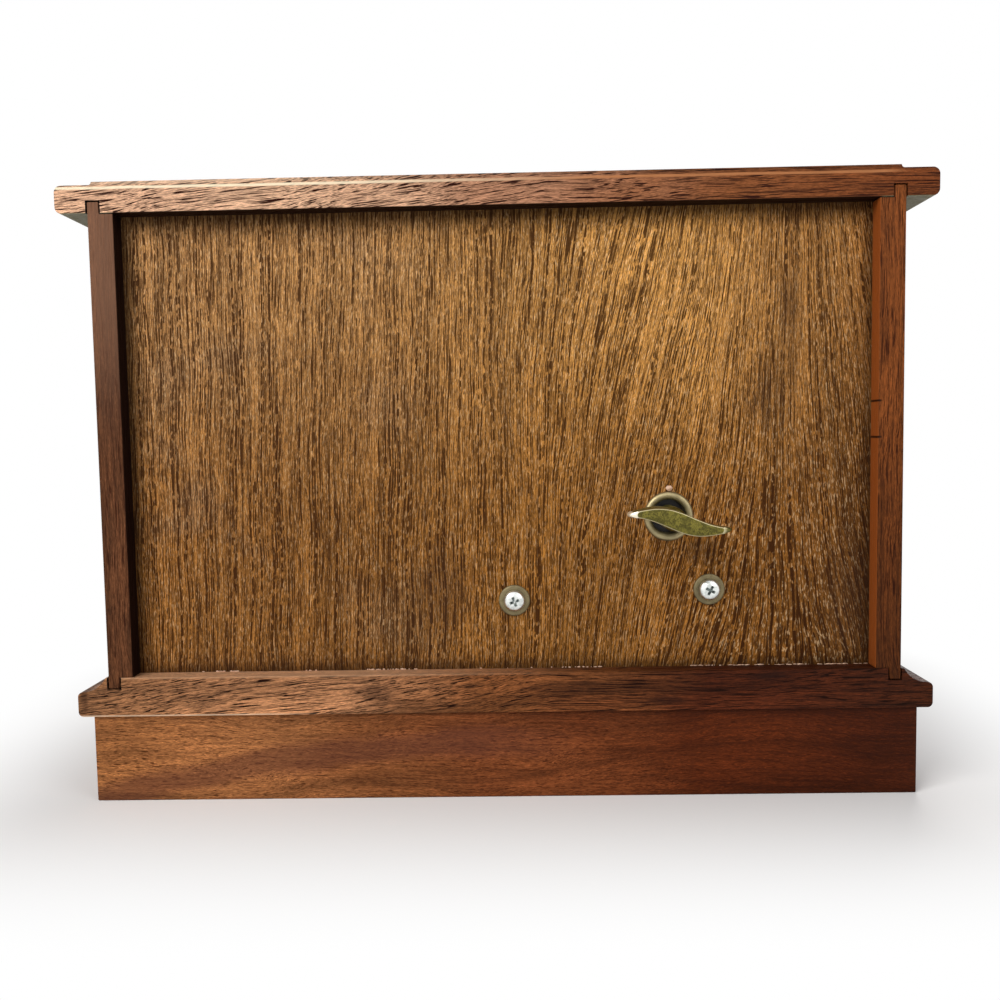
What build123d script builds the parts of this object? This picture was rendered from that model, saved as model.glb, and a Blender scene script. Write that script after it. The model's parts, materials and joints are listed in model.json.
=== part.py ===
"""Musical jewellery chest: a small wooden chest of three drawers with a wind-up tune movement.

The front faces -Y and the back, with the winding key, faces +Y. All sizes are in millimetres.
The origin lies on the table top, under the middle of the whole outline, knobs and key included.
"""

import math
import os

from build123d import *

# Carcass boards
top_width = 203.0
top_depth = 120.0
rim_thickness = 6.4
field_step = 0.7
field_inset = 8.0
edge_round = 1.6
base_thickness = 9.4
cove_width = 6.8
cove_drop = 3.4
nose_round = 1.2
front_overhang = 7.5
side_overhang = 7.5
opening_height = 109.0
side_thickness = 6.0

# Barefaced tongues of the sides, in grooves of the top and base boards
tongue_thickness = 2.7
tongue_length = 2.6
groove_gap = 0.25
tongue_setback = 5.0

# Plinth
plinth_height = 21.0
plinth_inset = 3.2
plinth_back_inset = 1.0
plinth_thickness = 7.0
glue_block_leg = 13.0
glue_block_height = 14.0

# Back panel
panel_recess = 4.8
panel_thickness = 3.0
panel_groove_depth = 2.0
panel_play = 0.1
key_hole_radius = 4.6

# Shelves between the drawers
shelf_thickness = 4.0
shelf_dado_depth = 2.0
dado_play = 0.1
shelf_to_movement = 1.8
drawer_to_movement = 5.5

# Drawers
drawer_count = 3
drawer_play = 0.5
drawer_lift = 0.2
front_thickness = 6.5
front_edge_bevel = 0.7
drawer_board = 4.0
drawer_back_board = 3.5
drawer_bottom_board = 2.0
drawer_wall_height = 28.0
bottom_groove_depth = 1.5
bottom_groove_height = 2.0
full_drawer_end_gap = 0.5
lining_floor = 1.0
lining_wall = 0.8
lining_margin = 1.0
glue_gap = 0.05
stop_width = 10.0
stop_height = 6.0
stop_thickness = 3.0
stop_play = 0.3
stop_offset = 66.0

# Turned knobs
knob_length = 11.5
knob_radius = 5.2
knob_neck_radius = 2.4
knob_neck_length = 3.8
knob_dome_height = 1.9
knob_dome_radius = 3.0
knob_offset = 47.0
knob_spigot_length = 5.5

# Flat sides of the small turned pieces that repeat, such as the knobs, and of their holes
turning_sides = 24

# Ring cushion in the top drawer
cushion_width = 56.0
cushion_rolls = 5
cushion_base = 4.0
cushion_gap = 0.4
roll_round_share = 0.47

# Movement, held on the inside of the back panel and turned a little out of square
key_x = -40.35
key_height = 36.3
movement_tilt = 2.5
plate_left = 12.0
plate_right = 41.4
plate_half_height = 21.5
plate_thickness = 2.6
plate_corner = 2.5
screw_drop = 18.1
screw_near = 8.8
screw_far = 37.9
boss_half_width = 3.0
boss_height = 3.4

# Movement screws, washers and the keyhole eyelet
mount_screw_radius = 1.25
screw_hole_play = 0.2
mount_screw_length = 8.4
mount_head_radius = 2.55
mount_head_height = 1.7
mount_head_edge = 0.8
washer_radius = 3.75
washer_hole_radius = 1.6
washer_thickness = 0.5
eyelet_radius = 5.93
eyelet_bore = 4.05
eyelet_lip = 0.85
eyelet_crest = 5.05
eyelet_wall = 0.4
eyelet_setback = 0.2

# Winding key
key_half_span = 11.65
key_middle = 4.3
key_tip = 1.0
key_taper = 1.5
key_sway = 0.8
key_blade_start = 7.2
key_blade_height = 9.8
key_stem_radius = 2.75
key_stem_bite = 1.5
key_stem_end = 0.6
key_waist_share = 0.62
key_draw_share = 0.35
key_rest_angle = 11.5
key_corner = 1.8
key_draw = 6.4

# Winding arbor, spring barrel and crown wheel
arbor_radius = 2.0
arbor_bite = 2.0
turning_play = 0.06
barrel_radius = 11.5
barrel_wall = 0.6
barrel_height = 10.0
spring_strip = 0.45
spring_turns = 2
spring_inner = 3.3
spring_margin = 0.7
crown_teeth = 40
crown_radius = 9.5
crown_face = 1.8
crown_disc = 1.0
crown_lift = 0.3
crown_tooth = 1.0
crown_root_share = 0.4
crown_rim = 0.1
crown_hub_radius = 3.6
crown_hub_height = 2.4
arbor_nut_radius = 2.9
arbor_nut_height = 1.2

# Pinned cylinder and its wheels
pinion_teeth = 16
cylinder_start = 15.2
cylinder_length = 19.0
cylinder_radius = 6.4
pin_side = 0.34
pin_height = 0.6
pin_root = 0.25
note_count = 18
pins_per_note = 2
beat_step = 0.236
note_step = 0.382
spindle_radius = 0.8
pinion_start = 8.8
wheel_face = 1.4
drive_teeth = 48
drive_radius = 8.7
drive_gap = 0.3
tooth_tip = 0.3
tooth_root = 0.42
pinion_tip = 0.42
pinion_root = 0.55
tip_share = 0.2
root_share = 0.48
spindle_end = 0.6
post_thickness = 1.6
post_half_width = 2.5
left_post = 12.4
right_post = 36.4

# Tone comb
comb_thickness = 1.2
comb_root = 21.3
comb_tip_gap = 0.15
comb_slot = 0.26
longest_tooth = 8.2
shortest_tooth = 5.2
comb_bed_depth = 6.3
comb_bed_overlap = 2.4
comb_screw_radius = 1.0
comb_screw_head_radius = 2.0
comb_screw_head_height = 1.2
comb_screw_length = 6.0
comb_screw_shares = (0.22, 0.72)

# Speed governor
governor_teeth = 12
worm_wheel_teeth = 16
worm_wheel_radius = 3.2
worm_radius = 1.2
worm_core = 0.7
worm_tip = 1.5
worm_starts = 2
worm_threads = 2
worm_collar = 0.5
worm_sides = 12
worm_wheel_face = 0.6
worm_wheel_place = 30.0
small_spindle = 0.5
small_spindle_end = 0.3
foot_play = 0.4
fan_spindle = 0.4
fan_radius = 3.5
fan_low = 5.0
fan_high = 11.0
fan_blade = 0.4
cheek_thickness = 1.0
left_cheek = 23.6
right_cheek = 36.6
cheek_near = 7.7
cheek_far = 18.5
governor_top = 25.2
bridge_half_width = 2.0

# Stop lever, pushed by the middle drawer when it is shut
lever_pin_radius = 0.6
lever_pin_height = 4.7
lever_pin_reach = 19.9
lever_hub_radius = 1.3
lever_half_width = 0.9
lever_strip = 0.6
lever_knee = 28.6
lever_finger_reach = 8.5
lever_tip_gap = 0.3
lever_tip_height = 8.0
lever_push_gap = 0.3
ear_thickness = 0.9
ear_gap = 0.15
ear_half_width = 0.9

# Heights on the movement's bench: plate down, winding axis upright
crown_root = plate_thickness + barrel_height + crown_lift + crown_disc
pinion_radius = crown_radius * pinion_teeth / crown_teeth
axle_height = crown_root + crown_tooth / 2 + pinion_radius
movement_height = axle_height + drive_radius + tooth_tip
governor_reach = drive_radius * (1 + governor_teeth / drive_teeth)
fan_reach = governor_reach + worm_wheel_radius + worm_radius
pin_reach = cylinder_radius + pin_height

comb_bed_top = axle_height - comb_thickness / 2
comb_top = axle_height + comb_thickness / 2

# Levels and planes of the chest that follow from the sizes above
base_top = plinth_height + base_thickness
top_underside = base_top + opening_height
carcass_width = top_width - 2 * side_overhang
carcass_depth = top_depth - front_overhang
plinth_width = top_width - 2 * plinth_inset
key_tip_reach = key_blade_start + key_blade_height
back_y = (carcass_depth + knob_length + panel_recess - key_tip_reach) / 2
front_y = back_y - carcass_depth
panel_outer_y = back_y - panel_recess
panel_inner_y = panel_outer_y - panel_thickness
half_inner = carcass_width / 2 - side_thickness
row_height = (opening_height - (drawer_count - 1) * shelf_thickness) / drawer_count
row_pitch = row_height + shelf_thickness
full_drawer_depth = panel_inner_y - front_y - full_drawer_end_gap
drawer_back_height = movement_height + drawer_to_movement
short_drawer_depth = panel_inner_y - front_y - drawer_back_height
lower_shelf_depth = panel_inner_y - front_y - movement_height - shelf_to_movement
key_z = base_top + key_height
key_place = Location((key_x, panel_inner_y, key_z))
movement_place = key_place * Rotation(0, movement_tilt, 0) * Rotation(90, 0, 0)


def box_between(low, high):
    """A box from its lowest corner to its highest corner."""
    size = [high[i] - low[i] for i in range(3)]
    middle = [(high[i] + low[i]) / 2 for i in range(3)]
    return Pos(*middle) * Box(*size)


def cylinder_between(start, end, radius, plane=Plane.XY):
    """A round bar along the plane's normal, from one height to another."""
    return plane.offset(start) * Cylinder(radius, end - start, align=(Align.CENTER, Align.CENTER, Align.MIN))


def faceted(rings):
    """A solid skinned with flat triangles between matching rings of points, closed at both end rings."""
    faces = [make_face(Polyline(*ring, close=True)) for ring in (rings[0], rings[-1])]
    for near, far in zip(rings, rings[1:]):
        for index in range(len(near)):
            faces.append(make_face(Polyline(near[index - 1], near[index], far[index], close=True)))
            faces.append(make_face(Polyline(near[index - 1], far[index], far[index - 1], close=True)))
    return Solid(Shell(faces))


def small_turning(stations):
    """A small turned piece about Z, from (height, radius) stations, with flat sides."""
    turns = [2 * math.pi * side / turning_sides for side in range(turning_sides)]
    rings = []
    for height, radius in stations:
        rings.append([(radius * math.cos(turn), radius * math.sin(turn), height) for turn in turns])
    return faceted(rings)


def mirrored(shape):
    """The same shape on the other side of the chest."""
    return mirror(shape, about=Plane.YZ)


def save(name, shape):
    """Writes one node's solids to its STEP file."""
    solids = shape.solids() if hasattr(shape, "solids") else shape
    result = solids[0] if len(solids) == 1 else Compound(children=list(solids))
    export_step(result, f"parts/{name}.step")


def in_chest(shape):
    """Carries a movement piece from the bench, plate down, to its place on the back panel."""
    return movement_place * shape


def moulded_board(side_outline, front_outline, level):
    """A board whose ends follow one outline and whose front edge follows another, mitred at the corners."""
    along = extrude(Plane.XZ * side_outline, amount=top_depth, both=True)
    across = extrude(Plane.YZ * front_outline, amount=top_width, both=True)
    return Pos(0, 0, level) * (along & across)


def tongue_groove(side, low, high):
    """The stopped groove in the top or base board that takes a side's tongue."""
    outer = carcass_width / 2 + groove_gap
    inner = carcass_width / 2 - tongue_thickness - groove_gap
    groove = box_between(
        (inner, front_y + tongue_setback - groove_gap, low), (outer, back_y + 1, high)
    )
    return groove if side > 0 else mirrored(groove)


def panel_slot(low, high):
    """The groove in the top or base board that takes the edge of the back panel."""
    half = half_inner + panel_groove_depth
    return box_between(
        (-half, panel_inner_y - panel_play, low), (half, panel_outer_y + panel_play, high)
    )


def top_outline(half_or_front, other):
    """The top board's section: rounded rim, small step, raised field. The far end is square."""
    end, rim, high = half_or_front, rim_thickness, rim_thickness + field_step
    r = edge_round
    lines = [
        Line((other, 0), (end - r, 0)),
        CenterArc((end - r, r), r, -90, 90),
        Line((end, r), (end, rim - r)),
        CenterArc((end - r, rim - r), r, 0, 90),
        Line((end - r, rim), (end - field_inset, rim)),
        CenterArc((end - field_inset, rim + field_step), field_step, -90, -90),
        Line((end - field_inset - field_step, high), (other, high)),
        Line((other, high), (other, 0)),
    ]
    return make_face(lines)


def base_outline(end, other):
    """The base board's section: rounded nose, shallow cove, flat top. The far end is square."""
    r = nose_round
    nose_top = base_thickness - cove_drop
    shoulder = end - cove_width
    dip = 0.25 * cove_drop
    middle = ((end - r + shoulder) / 2 - dip / 2, (nose_top + base_thickness) / 2 - dip)
    lines = [
        Line((other, 0), (end - r, 0)),
        CenterArc((end - r, r), r, -90, 90),
        Line((end, r), (end, nose_top - r)),
        CenterArc((end - r, nose_top - r), r, 0, 90),
        ThreePointArc((end - r, nose_top), middle, (shoulder, base_thickness)),
        Line((shoulder, base_thickness), (other, base_thickness)),
        Line((other, base_thickness), (other, 0)),
    ]
    return make_face(lines)


def board_outlines(section):
    """Both outlines of a moulded board: moulded at each end, moulded in front and square at the back."""
    half = section(top_width / 2, 0.0)
    ends = half + mirror(half, about=Plane.YZ)
    front = section(top_depth - back_y, -back_y)
    return ends, mirror(front, about=Plane.YZ)


def make_top_board():
    board = moulded_board(*board_outlines(top_outline), top_underside)
    groove_top = top_underside + tongue_length + groove_gap
    for side in (-1, 1):
        board -= tongue_groove(side, top_underside - 1, groove_top)
    return board - panel_slot(top_underside - 1, top_underside + panel_groove_depth)


def make_base_board():
    board = moulded_board(*board_outlines(base_outline), plinth_height)
    groove_bottom = base_top - tongue_length - groove_gap
    for side in (-1, 1):
        board -= tongue_groove(side, groove_bottom, base_top + 1)
    return board - panel_slot(base_top - panel_groove_depth, base_top + 1)


def make_side():
    """The right side board, with its tongues, shelf dados and panel groove."""
    outer = carcass_width / 2
    board = box_between((half_inner, front_y, base_top), (outer, back_y, top_underside))
    board += box_between(
        (outer - tongue_thickness, front_y + tongue_setback, base_top - tongue_length),
        (outer, back_y, top_underside + tongue_length),
    )
    for row in range(1, drawer_count):
        low = base_top + row * row_pitch - shelf_thickness - dado_play / 2
        board -= box_between(
            (half_inner - 1, front_y - 1, low),
            (half_inner + shelf_dado_depth, panel_inner_y, low + shelf_thickness + dado_play),
        )
    board -= box_between(
        (half_inner - 1, panel_inner_y - panel_play, base_top - 1),
        (half_inner + panel_groove_depth, panel_outer_y + panel_play, top_underside + 1),
    )
    return board


def make_shelf(row, depth):
    """The shelf under a drawer row above the first, housed in the sides."""
    low = base_top + row * row_pitch - shelf_thickness
    half = half_inner + shelf_dado_depth - dado_play
    return box_between((-half, front_y, low), (half, front_y + depth, low + shelf_thickness))


def make_back_panel():
    edge = panel_groove_depth - panel_play
    panel = box_between(
        (-half_inner - edge, panel_inner_y, base_top - edge),
        (half_inner + edge, panel_outer_y, top_underside + edge),
    )
    holes = cylinder_between(-2 * panel_thickness, 1, key_hole_radius)
    hole = cylinder_between(-2 * panel_thickness, 1, mount_screw_radius + screw_hole_play)
    for place in mount_places():
        holes += place * hole
    return panel - in_chest(holes)


def make_plinth():
    """The four mitred plinth boards, by name."""
    half = plinth_width / 2
    front = back_y - top_depth + plinth_inset
    back = back_y - plinth_back_inset
    t = plinth_thickness
    outlines = {
        "plinth_front": [(-half, front), (half, front), (half - t, front + t), (-half + t, front + t)],
        "plinth_back": [(-half, back), (-half + t, back - t), (half - t, back - t), (half, back)],
        "plinth_left": [(-half, front), (-half + t, front + t), (-half + t, back - t), (-half, back)],
        "plinth_right": [(half, front), (half, back), (half - t, back - t), (half - t, front + t)],
    }
    return {
        name: extrude(make_face(Polyline(*points, close=True)), amount=plinth_height, dir=(0, 0, 1))
        for name, points in outlines.items()
    }


def make_glue_blocks():
    """Four three-sided blocks in the plinth's corners, under the base board."""
    x = plinth_width / 2 - plinth_thickness
    front = back_y - top_depth + plinth_inset + plinth_thickness
    back = back_y - plinth_back_inset - plinth_thickness
    leg = glue_block_leg
    blocks = []
    for side in (-1, 1):
        for y, inward in ((front, 1), (back, -1)):
            corner = [(side * x, y), (side * (x - leg), y), (side * x, y + inward * leg)]
            face = Pos(0, 0, plinth_height - glue_block_height) * make_face(Polyline(*corner, close=True))
            blocks.append(extrude(face, amount=glue_block_height, dir=(0, 0, 1)))
    return blocks


def make_drawer_stops():
    """Small blocks behind the two short drawers, glued to the base board and the lower shelf."""
    start = front_y + short_drawer_depth + stop_play
    blocks = []
    for row in (0, 1):
        low = base_top + row * row_pitch
        for side in (-1, 1):
            x = side * stop_offset
            blocks.append(
                box_between(
                    (x - stop_width / 2, start, low),
                    (x + stop_width / 2, start + stop_thickness, low + stop_height),
                )
            )
    return blocks


class Drawer:
    """One drawer of a given row and depth, with its boards as separate pieces."""

    def __init__(self, row, depth):
        self.floor = base_top + row * row_pitch
        self.depth = depth
        self.half = half_inner - drawer_play
        self.low = self.floor + drawer_lift
        self.high = self.low + drawer_wall_height
        self.back = front_y + depth
        self.inner_front = front_y + front_thickness
        self.inner_back = self.back - drawer_back_board
        self.bottom_low = self.low + bottom_groove_height
        self.bottom_high = self.bottom_low + drawer_bottom_board
        self.knob_z = self.floor + row_height / 2

    def bottom(self, play=0.0):
        """The bottom board, or with play the groove cut for it."""
        reach = bottom_groove_depth + play
        half = self.half - drawer_board + reach
        return box_between(
            (-half, self.inner_front - reach, self.bottom_low - play),
            (half, self.back + play, self.bottom_high + play),
        )

    def front(self):
        board = box_between(
            (-self.half, front_y, self.floor + drawer_play),
            (self.half, self.inner_front, self.floor + row_height - drawer_play),
        )
        show_edges = board.faces().sort_by(Axis.Y)[0].edges()
        board = chamfer(show_edges, front_edge_bevel)
        lap = front_thickness - bottom_groove_depth
        for side in (-1, 1):
            end = box_between(
                (self.half - drawer_board - glue_gap, front_y + lap, self.floor),
                (self.half + 1, self.inner_front + 1, self.high + glue_gap),
            )
            board -= end if side > 0 else mirrored(end)
        for side in (-1, 1):
            radius = knob_neck_radius + glue_gap
            hole = Rotation(90, 0, 0) * small_turning(((-knob_spigot_length - glue_gap, radius), (1, radius)))
            board -= Pos(side * knob_offset, front_y, self.knob_z) * hole
        return board - self.bottom(glue_gap)

    def side(self):
        """The right side board of the drawer."""
        board = box_between(
            (self.half - drawer_board, self.inner_front - bottom_groove_depth, self.low),
            (self.half, self.back, self.high),
        )
        return board - self.bottom(glue_gap)

    def back_board(self):
        half = self.half - drawer_board
        return box_between(
            (-half, self.inner_back, self.bottom_high + glue_gap), (half, self.back, self.high)
        )

    def lining(self):
        """A flocked tray: floor and four thin walls."""
        half = self.half - drawer_board - glue_gap
        low = self.bottom_high + glue_gap
        high = self.high - lining_margin
        front, back = self.inner_front + glue_gap, self.inner_back - glue_gap
        tray = box_between((-half, front, low), (half, back, high))
        return tray - box_between(
            (-half + lining_wall, front + lining_wall, low + lining_floor),
            (half - lining_wall, back - lining_wall, high + 1),
        )

    def knobs(self):
        """Two turned knobs: stem glued in the front, flared head and low dome."""
        stations = (
            (-knob_spigot_length, knob_neck_radius),
            (knob_neck_length, knob_neck_radius),
            (knob_length - knob_dome_height, knob_radius),
            (knob_length, knob_dome_radius),
        )
        knob = Rotation(90, 0, 0) * small_turning(stations)
        return [Pos(side * knob_offset, front_y, self.knob_z) * knob for side in (-1, 1)]

    def pieces(self, prefix):
        side = self.side()
        return {
            f"{prefix}_front": self.front(),
            f"{prefix}_side_left": mirrored(side),
            f"{prefix}_side_right": side,
            f"{prefix}_back": self.back_board(),
            f"{prefix}_bottom": self.bottom(),
            f"{prefix}_lining": self.lining(),
            f"{prefix}_knobs": self.knobs(),
        }


def make_ring_cushion(drawer):
    """A padded block of rounded rolls that grip rings between them, at the left of the drawer."""
    left = -drawer.half + drawer_board + lining_wall + cushion_gap
    front = drawer.inner_front + lining_wall + cushion_gap
    back = drawer.inner_back - lining_wall - cushion_gap
    floor = drawer.bottom_high + glue_gap + lining_floor + cushion_gap / 2
    pitch = (back - front) / cushion_rolls
    radius = pitch * roll_round_share
    shape = box_between(
        (left, front + pitch / 2 - radius, floor),
        (left + cushion_width, back - pitch / 2 + radius, floor + cushion_base),
    )
    for roll in range(cushion_rolls):
        y = front + pitch * (roll + 0.5)
        bar = Pos(0, y, floor + cushion_base) * cylinder_between(left, left + cushion_width, radius, Plane.YZ)
        above = box_between(
            (left, y - radius, floor + cushion_base / 2),
            (left + cushion_width, y + radius, floor + cushion_base + radius),
        )
        shape += bar & above
    return shape


# Movement pieces, modelled on the bench: plate down, key below, X along the cylinder


def toothed_face(teeth, pitch_radius, tip, root):
    """A wheel outline with straight-sided teeth, from its pitch radius out by tip and in by root."""
    step = 2 * math.pi / teeth
    inner, outer = pitch_radius - root, pitch_radius + tip
    corners = ((inner, -root_share), (outer, -tip_share), (outer, tip_share), (inner, root_share))
    points = []
    for tooth in range(teeth):
        for radius, share in corners:
            angle = step * (tooth + share / 2)
            points.append((radius * math.cos(angle), radius * math.sin(angle)))
    return make_face(Polyline(*points, close=True))


def wheel_along_x(face, start, width, height, reach=0.0, turn=0.0):
    """A wheel cut from a flat outline, on an axle along X."""
    disc = extrude(face, amount=width)
    return Pos(start, reach, height) * Rotation(0, 90, 0) * Rotation(0, 0, turn) * disc


def spindle(start, end, radius, reach=0.0):
    """An axle along X at the cylinder's height."""
    return Pos(0, reach, axle_height) * cylinder_between(start, end, radius, Plane.YZ)


def wheel_bore(start):
    """The hole through a wheel that is fixed on the cylinder's axle."""
    return spindle(start - 1, start + wheel_face + 1, spindle_radius + glue_gap)


def make_bedplate():
    """A cast plate with the screw bosses, the comb's bed, two bearing posts and the lever's ears."""
    low = (-plate_left, -plate_half_height, 0)
    plate = box_between(low, (plate_right, plate_half_height, plate_thickness))
    plate = chamfer(plate.edges().filter_by(Axis.Z), plate_corner)
    boss = box_between(
        (-boss_half_width, -boss_half_width, plate_thickness),
        (boss_half_width, boss_half_width, plate_thickness + boss_height),
    )
    for place in mount_places():
        plate += place * boss
    plate += box_between(
        (cylinder_start - comb_bed_overlap, -plate_half_height, plate_thickness),
        (cylinder_start + cylinder_length + spindle_end, -plate_half_height + comb_bed_depth, comb_bed_top),
    )
    for start in (left_post, right_post):
        post = box_between(
            (start, -post_half_width, plate_thickness),
            (start + post_thickness, post_half_width, axle_height + post_half_width),
        )
        shoulders = post.faces().sort_by(Axis.Z)[-1].edges().filter_by(Axis.X)
        plate += chamfer(shoulders, post_half_width / 2)
        plate -= spindle(start - 1, start + post_thickness + 1, spindle_radius + turning_play)
    for offset in ear_places():
        plate += box_between(
            (offset, lever_pin_reach - ear_half_width, plate_thickness),
            (offset + ear_thickness, plate_half_height, lever_pin_height + lever_hub_radius),
        )
    plate -= lever_pin(lever_pin_radius)
    plate -= cylinder_between(-1, plate_thickness + 1, arbor_radius + turning_play)
    hole = cylinder_between(-1, plate_thickness + boss_height + 1, mount_screw_radius + glue_gap)
    for place in mount_places():
        plate -= place * hole
    for place in comb_screw_places():
        plate -= place * comb_screw_hole()
    return plate


def ear_places():
    """Where the two ears that hold the lever's pin start, along X."""
    reach = lever_half_width + ear_gap
    return (worm_wheel_place - reach - ear_thickness, worm_wheel_place + reach)


def lever_pin(radius):
    """The stop lever's pin, through both ears."""
    low, high = ear_places()
    return Pos(0, lever_pin_reach, lever_pin_height) * cylinder_between(
        low, high + ear_thickness, radius, Plane.YZ
    )


def comb_screw_places():
    """The places of the two comb screws on the bench."""
    depth = -comb_root + comb_bed_depth / 2
    return [Pos(cylinder_start + share * cylinder_length, depth, 0) for share in comb_screw_shares]


def comb_screw_hole():
    """The hole for a comb screw, through the comb and down into its bed."""
    radius = comb_screw_radius + glue_gap
    return small_turning(((comb_bed_top - comb_screw_length, radius), (comb_top + 1, radius)))


def make_comb():
    """A steel comb with one tooth for each note, longest at the deep end."""
    tip = -pin_reach - comb_tip_gap
    comb = box_between(
        (cylinder_start, -comb_root, comb_bed_top), (cylinder_start + cylinder_length, tip, comb_top)
    )
    pitch = cylinder_length / note_count
    for gap in range(1, note_count):
        x = cylinder_start + gap * pitch
        length = longest_tooth + (shortest_tooth - longest_tooth) * gap / note_count
        comb -= box_between(
            (x - comb_slot / 2, tip - length, comb_bed_top - 1), (x + comb_slot / 2, tip + 1, comb_top + 1)
        )
    for place in comb_screw_places():
        comb -= place * comb_screw_hole()
    return comb


def make_comb_screws():
    """Two cheese-head screws that hold the comb on its bed."""
    screw = small_turning(
        (
            (comb_bed_top - comb_screw_length + 1, comb_screw_radius),
            (comb_top, comb_screw_radius),
            (comb_top, comb_screw_head_radius),
            (comb_top + comb_screw_head_height, comb_screw_head_radius),
        )
    )
    return [place * screw for place in comb_screw_places()]


def make_barrel():
    """The fixed spring barrel: a drawn cup over the mainspring, open towards the plate."""
    low, high = plate_thickness, plate_thickness + barrel_height
    cup = cylinder_between(low, high, barrel_radius)
    cup -= cylinder_between(low - 1, high - barrel_wall, barrel_radius - barrel_wall)
    return cup - cylinder_between(low, high + 1, arbor_radius + 2 * turning_play)


def make_mainspring():
    """A flat strip coiled in half turns, from the arbor's hook out to the barrel wall."""
    outer = barrel_radius - barrel_wall - spring_margin
    half_turns = 2 * spring_turns
    growth = (outer - spring_inner) / half_turns
    arcs = []
    radius, centre, side = spring_inner, 0.0, 1
    for _ in range(half_turns):
        arcs.append(CenterArc((centre, 0), radius, 0 if side > 0 else 180, 180))
        centre -= side * growth / 2
        radius += growth / 2
        side = -side
    path = Wire(arcs)
    low = plate_thickness + spring_margin
    high = plate_thickness + barrel_height - barrel_wall - spring_margin
    start = Plane(origin=path @ 0, x_dir=(1, 0, 0), z_dir=path % 0)
    strip = start * Rectangle(spring_strip, high - low)
    return Pos(0, 0, (low + high) / 2) * sweep(strip, path=path)


def make_crown_wheel():
    """A disc with teeth standing up from its rim, and a hub on the arbor."""
    low, hub_top = crown_root - crown_disc, crown_root + crown_hub_height
    outer, inner = crown_radius + crown_face / 2, crown_radius - crown_face / 2
    wheel = cylinder_between(low, crown_root, outer)
    pitch = 2 * math.pi * crown_radius / crown_teeth
    half_root, half_tip = crown_root_share * pitch / 2, tip_share * pitch / 2
    sunk = -crown_disc / 2
    outline = make_face(
        Polyline(
            (-half_root, sunk),
            (half_root, sunk),
            (half_root, 0),
            (half_tip, crown_tooth),
            (-half_tip, crown_tooth),
            (-half_root, 0),
            close=True,
        )
    )
    tooth = Pos(inner, 0, crown_root) * extrude(Plane.YZ * outline, amount=crown_face - crown_rim)
    for index in range(crown_teeth):
        wheel += Rotation(0, 0, (index + 0.5) * 360 / crown_teeth) * tooth
    wheel += cylinder_between(crown_root, hub_top, crown_hub_radius)
    return wheel - cylinder_between(low - 1, hub_top + 1, arbor_radius + glue_gap)


def make_arbor():
    """The winding arbor, from inside the key to the nut over the crown wheel."""
    top = crown_root + crown_hub_height
    arbor = cylinder_between(-panel_thickness - key_blade_start - arbor_bite, top, arbor_radius)
    return arbor + cylinder_between(top, top + arbor_nut_height, arbor_nut_radius)


def key_edge_at(share, side):
    """A point on the S-curved blade's upper (1) or lower (-1) face, at a share of the half span."""
    half = (key_tip + (key_middle - key_tip) * math.cos(share * math.pi / 2) ** key_taper) / 2
    return (share * key_half_span, key_sway * math.sin(math.pi * share) + side * half)


def make_key():
    """A cast wing key: S-curved wings that thin towards their tips, on a round stem."""
    outline = []
    for side in (1, -1):
        for start in (-1, 0):
            shares = (start, start + 0.5, start + 1)
            outline.append(ThreePointArc(*[key_edge_at(share, side) for share in shares]))
    for end in (-1, 1):
        outline.append(Line(key_edge_at(end, 1), key_edge_at(end, -1)))
    outer_end = -panel_thickness - key_tip_reach
    inner_end = -panel_thickness - key_blade_start
    blade = Pos(0, 0, outer_end) * extrude(make_face(outline), amount=key_blade_height, dir=(0, 0, 1))
    wing = Plane.XZ * make_face(wing_lines(outer_end, inner_end))
    blade &= extrude(wing, amount=key_middle * 2, both=True)
    stem = cylinder_between(inner_end - key_stem_bite, key_stem_end - panel_thickness, key_stem_radius)
    bore = cylinder_between(inner_end - arbor_bite - glue_gap, 0, arbor_radius + glue_gap)
    return Rotation(0, 0, key_rest_angle) * ((blade + stem) - bore)


def wing_lines(low, high):
    """The key's side outline: two rounded wings that draw in towards the stem."""
    r, span, waist = key_corner, key_half_span, key_stem_radius
    start, middle = high - key_draw, high - key_draw * key_draw_share
    return [
        Line((-span + r, low), (span - r, low)),
        CenterArc((span - r, low + r), r, -90, 90),
        Line((span, low + r), (span, start)),
        ThreePointArc((span, start), (span * key_waist_share, middle), (waist, high)),
        Line((waist, high), (-waist, high)),
        ThreePointArc((-waist, high), (-span * key_waist_share, middle), (-span, start)),
        Line((-span, start), (-span, low + r)),
        CenterArc((-span + r, low + r), r, 180, 90),
    ]


def make_cylinder():
    """The filled brass cylinder, with the pins of each note set round it by a steady rule."""
    start, end = cylinder_start, cylinder_start + cylinder_length
    drum = spindle(start, end, cylinder_radius)
    drum -= spindle(start - 1, end + 1, spindle_radius + glue_gap)
    half = pin_side / 2
    pin = box_between((-half, -half, cylinder_radius - pin_root), (half, half, pin_reach))
    pins = []
    for note in range(note_count):
        x = start + (note + 0.5) * cylinder_length / note_count
        for beat in range(pins_per_note):
            turn = 360 * (beat * beat_step + note * note_step)
            pins.append(Pos(x, 0, axle_height) * Rotation(turn, 0, 0) * pin)
    return drum + pins


def make_cylinder_spindle():
    return spindle(pinion_start - spindle_end, right_post + post_thickness + spindle_end, spindle_radius)


def make_pinion():
    """The small wheel at the cylinder's near end, driven by the crown wheel."""
    face = toothed_face(pinion_teeth, pinion_radius, pinion_tip, pinion_root)
    return wheel_along_x(face, pinion_start, wheel_face, axle_height) - wheel_bore(pinion_start)


def make_drive_wheel():
    """The large wheel at the cylinder's far end, which drives the governor."""
    face = toothed_face(drive_teeth, drive_radius, tooth_tip, tooth_root)
    start = cylinder_start + cylinder_length + drive_gap
    return wheel_along_x(face, start, wheel_face, axle_height, turn=90) - wheel_bore(start)


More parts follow.
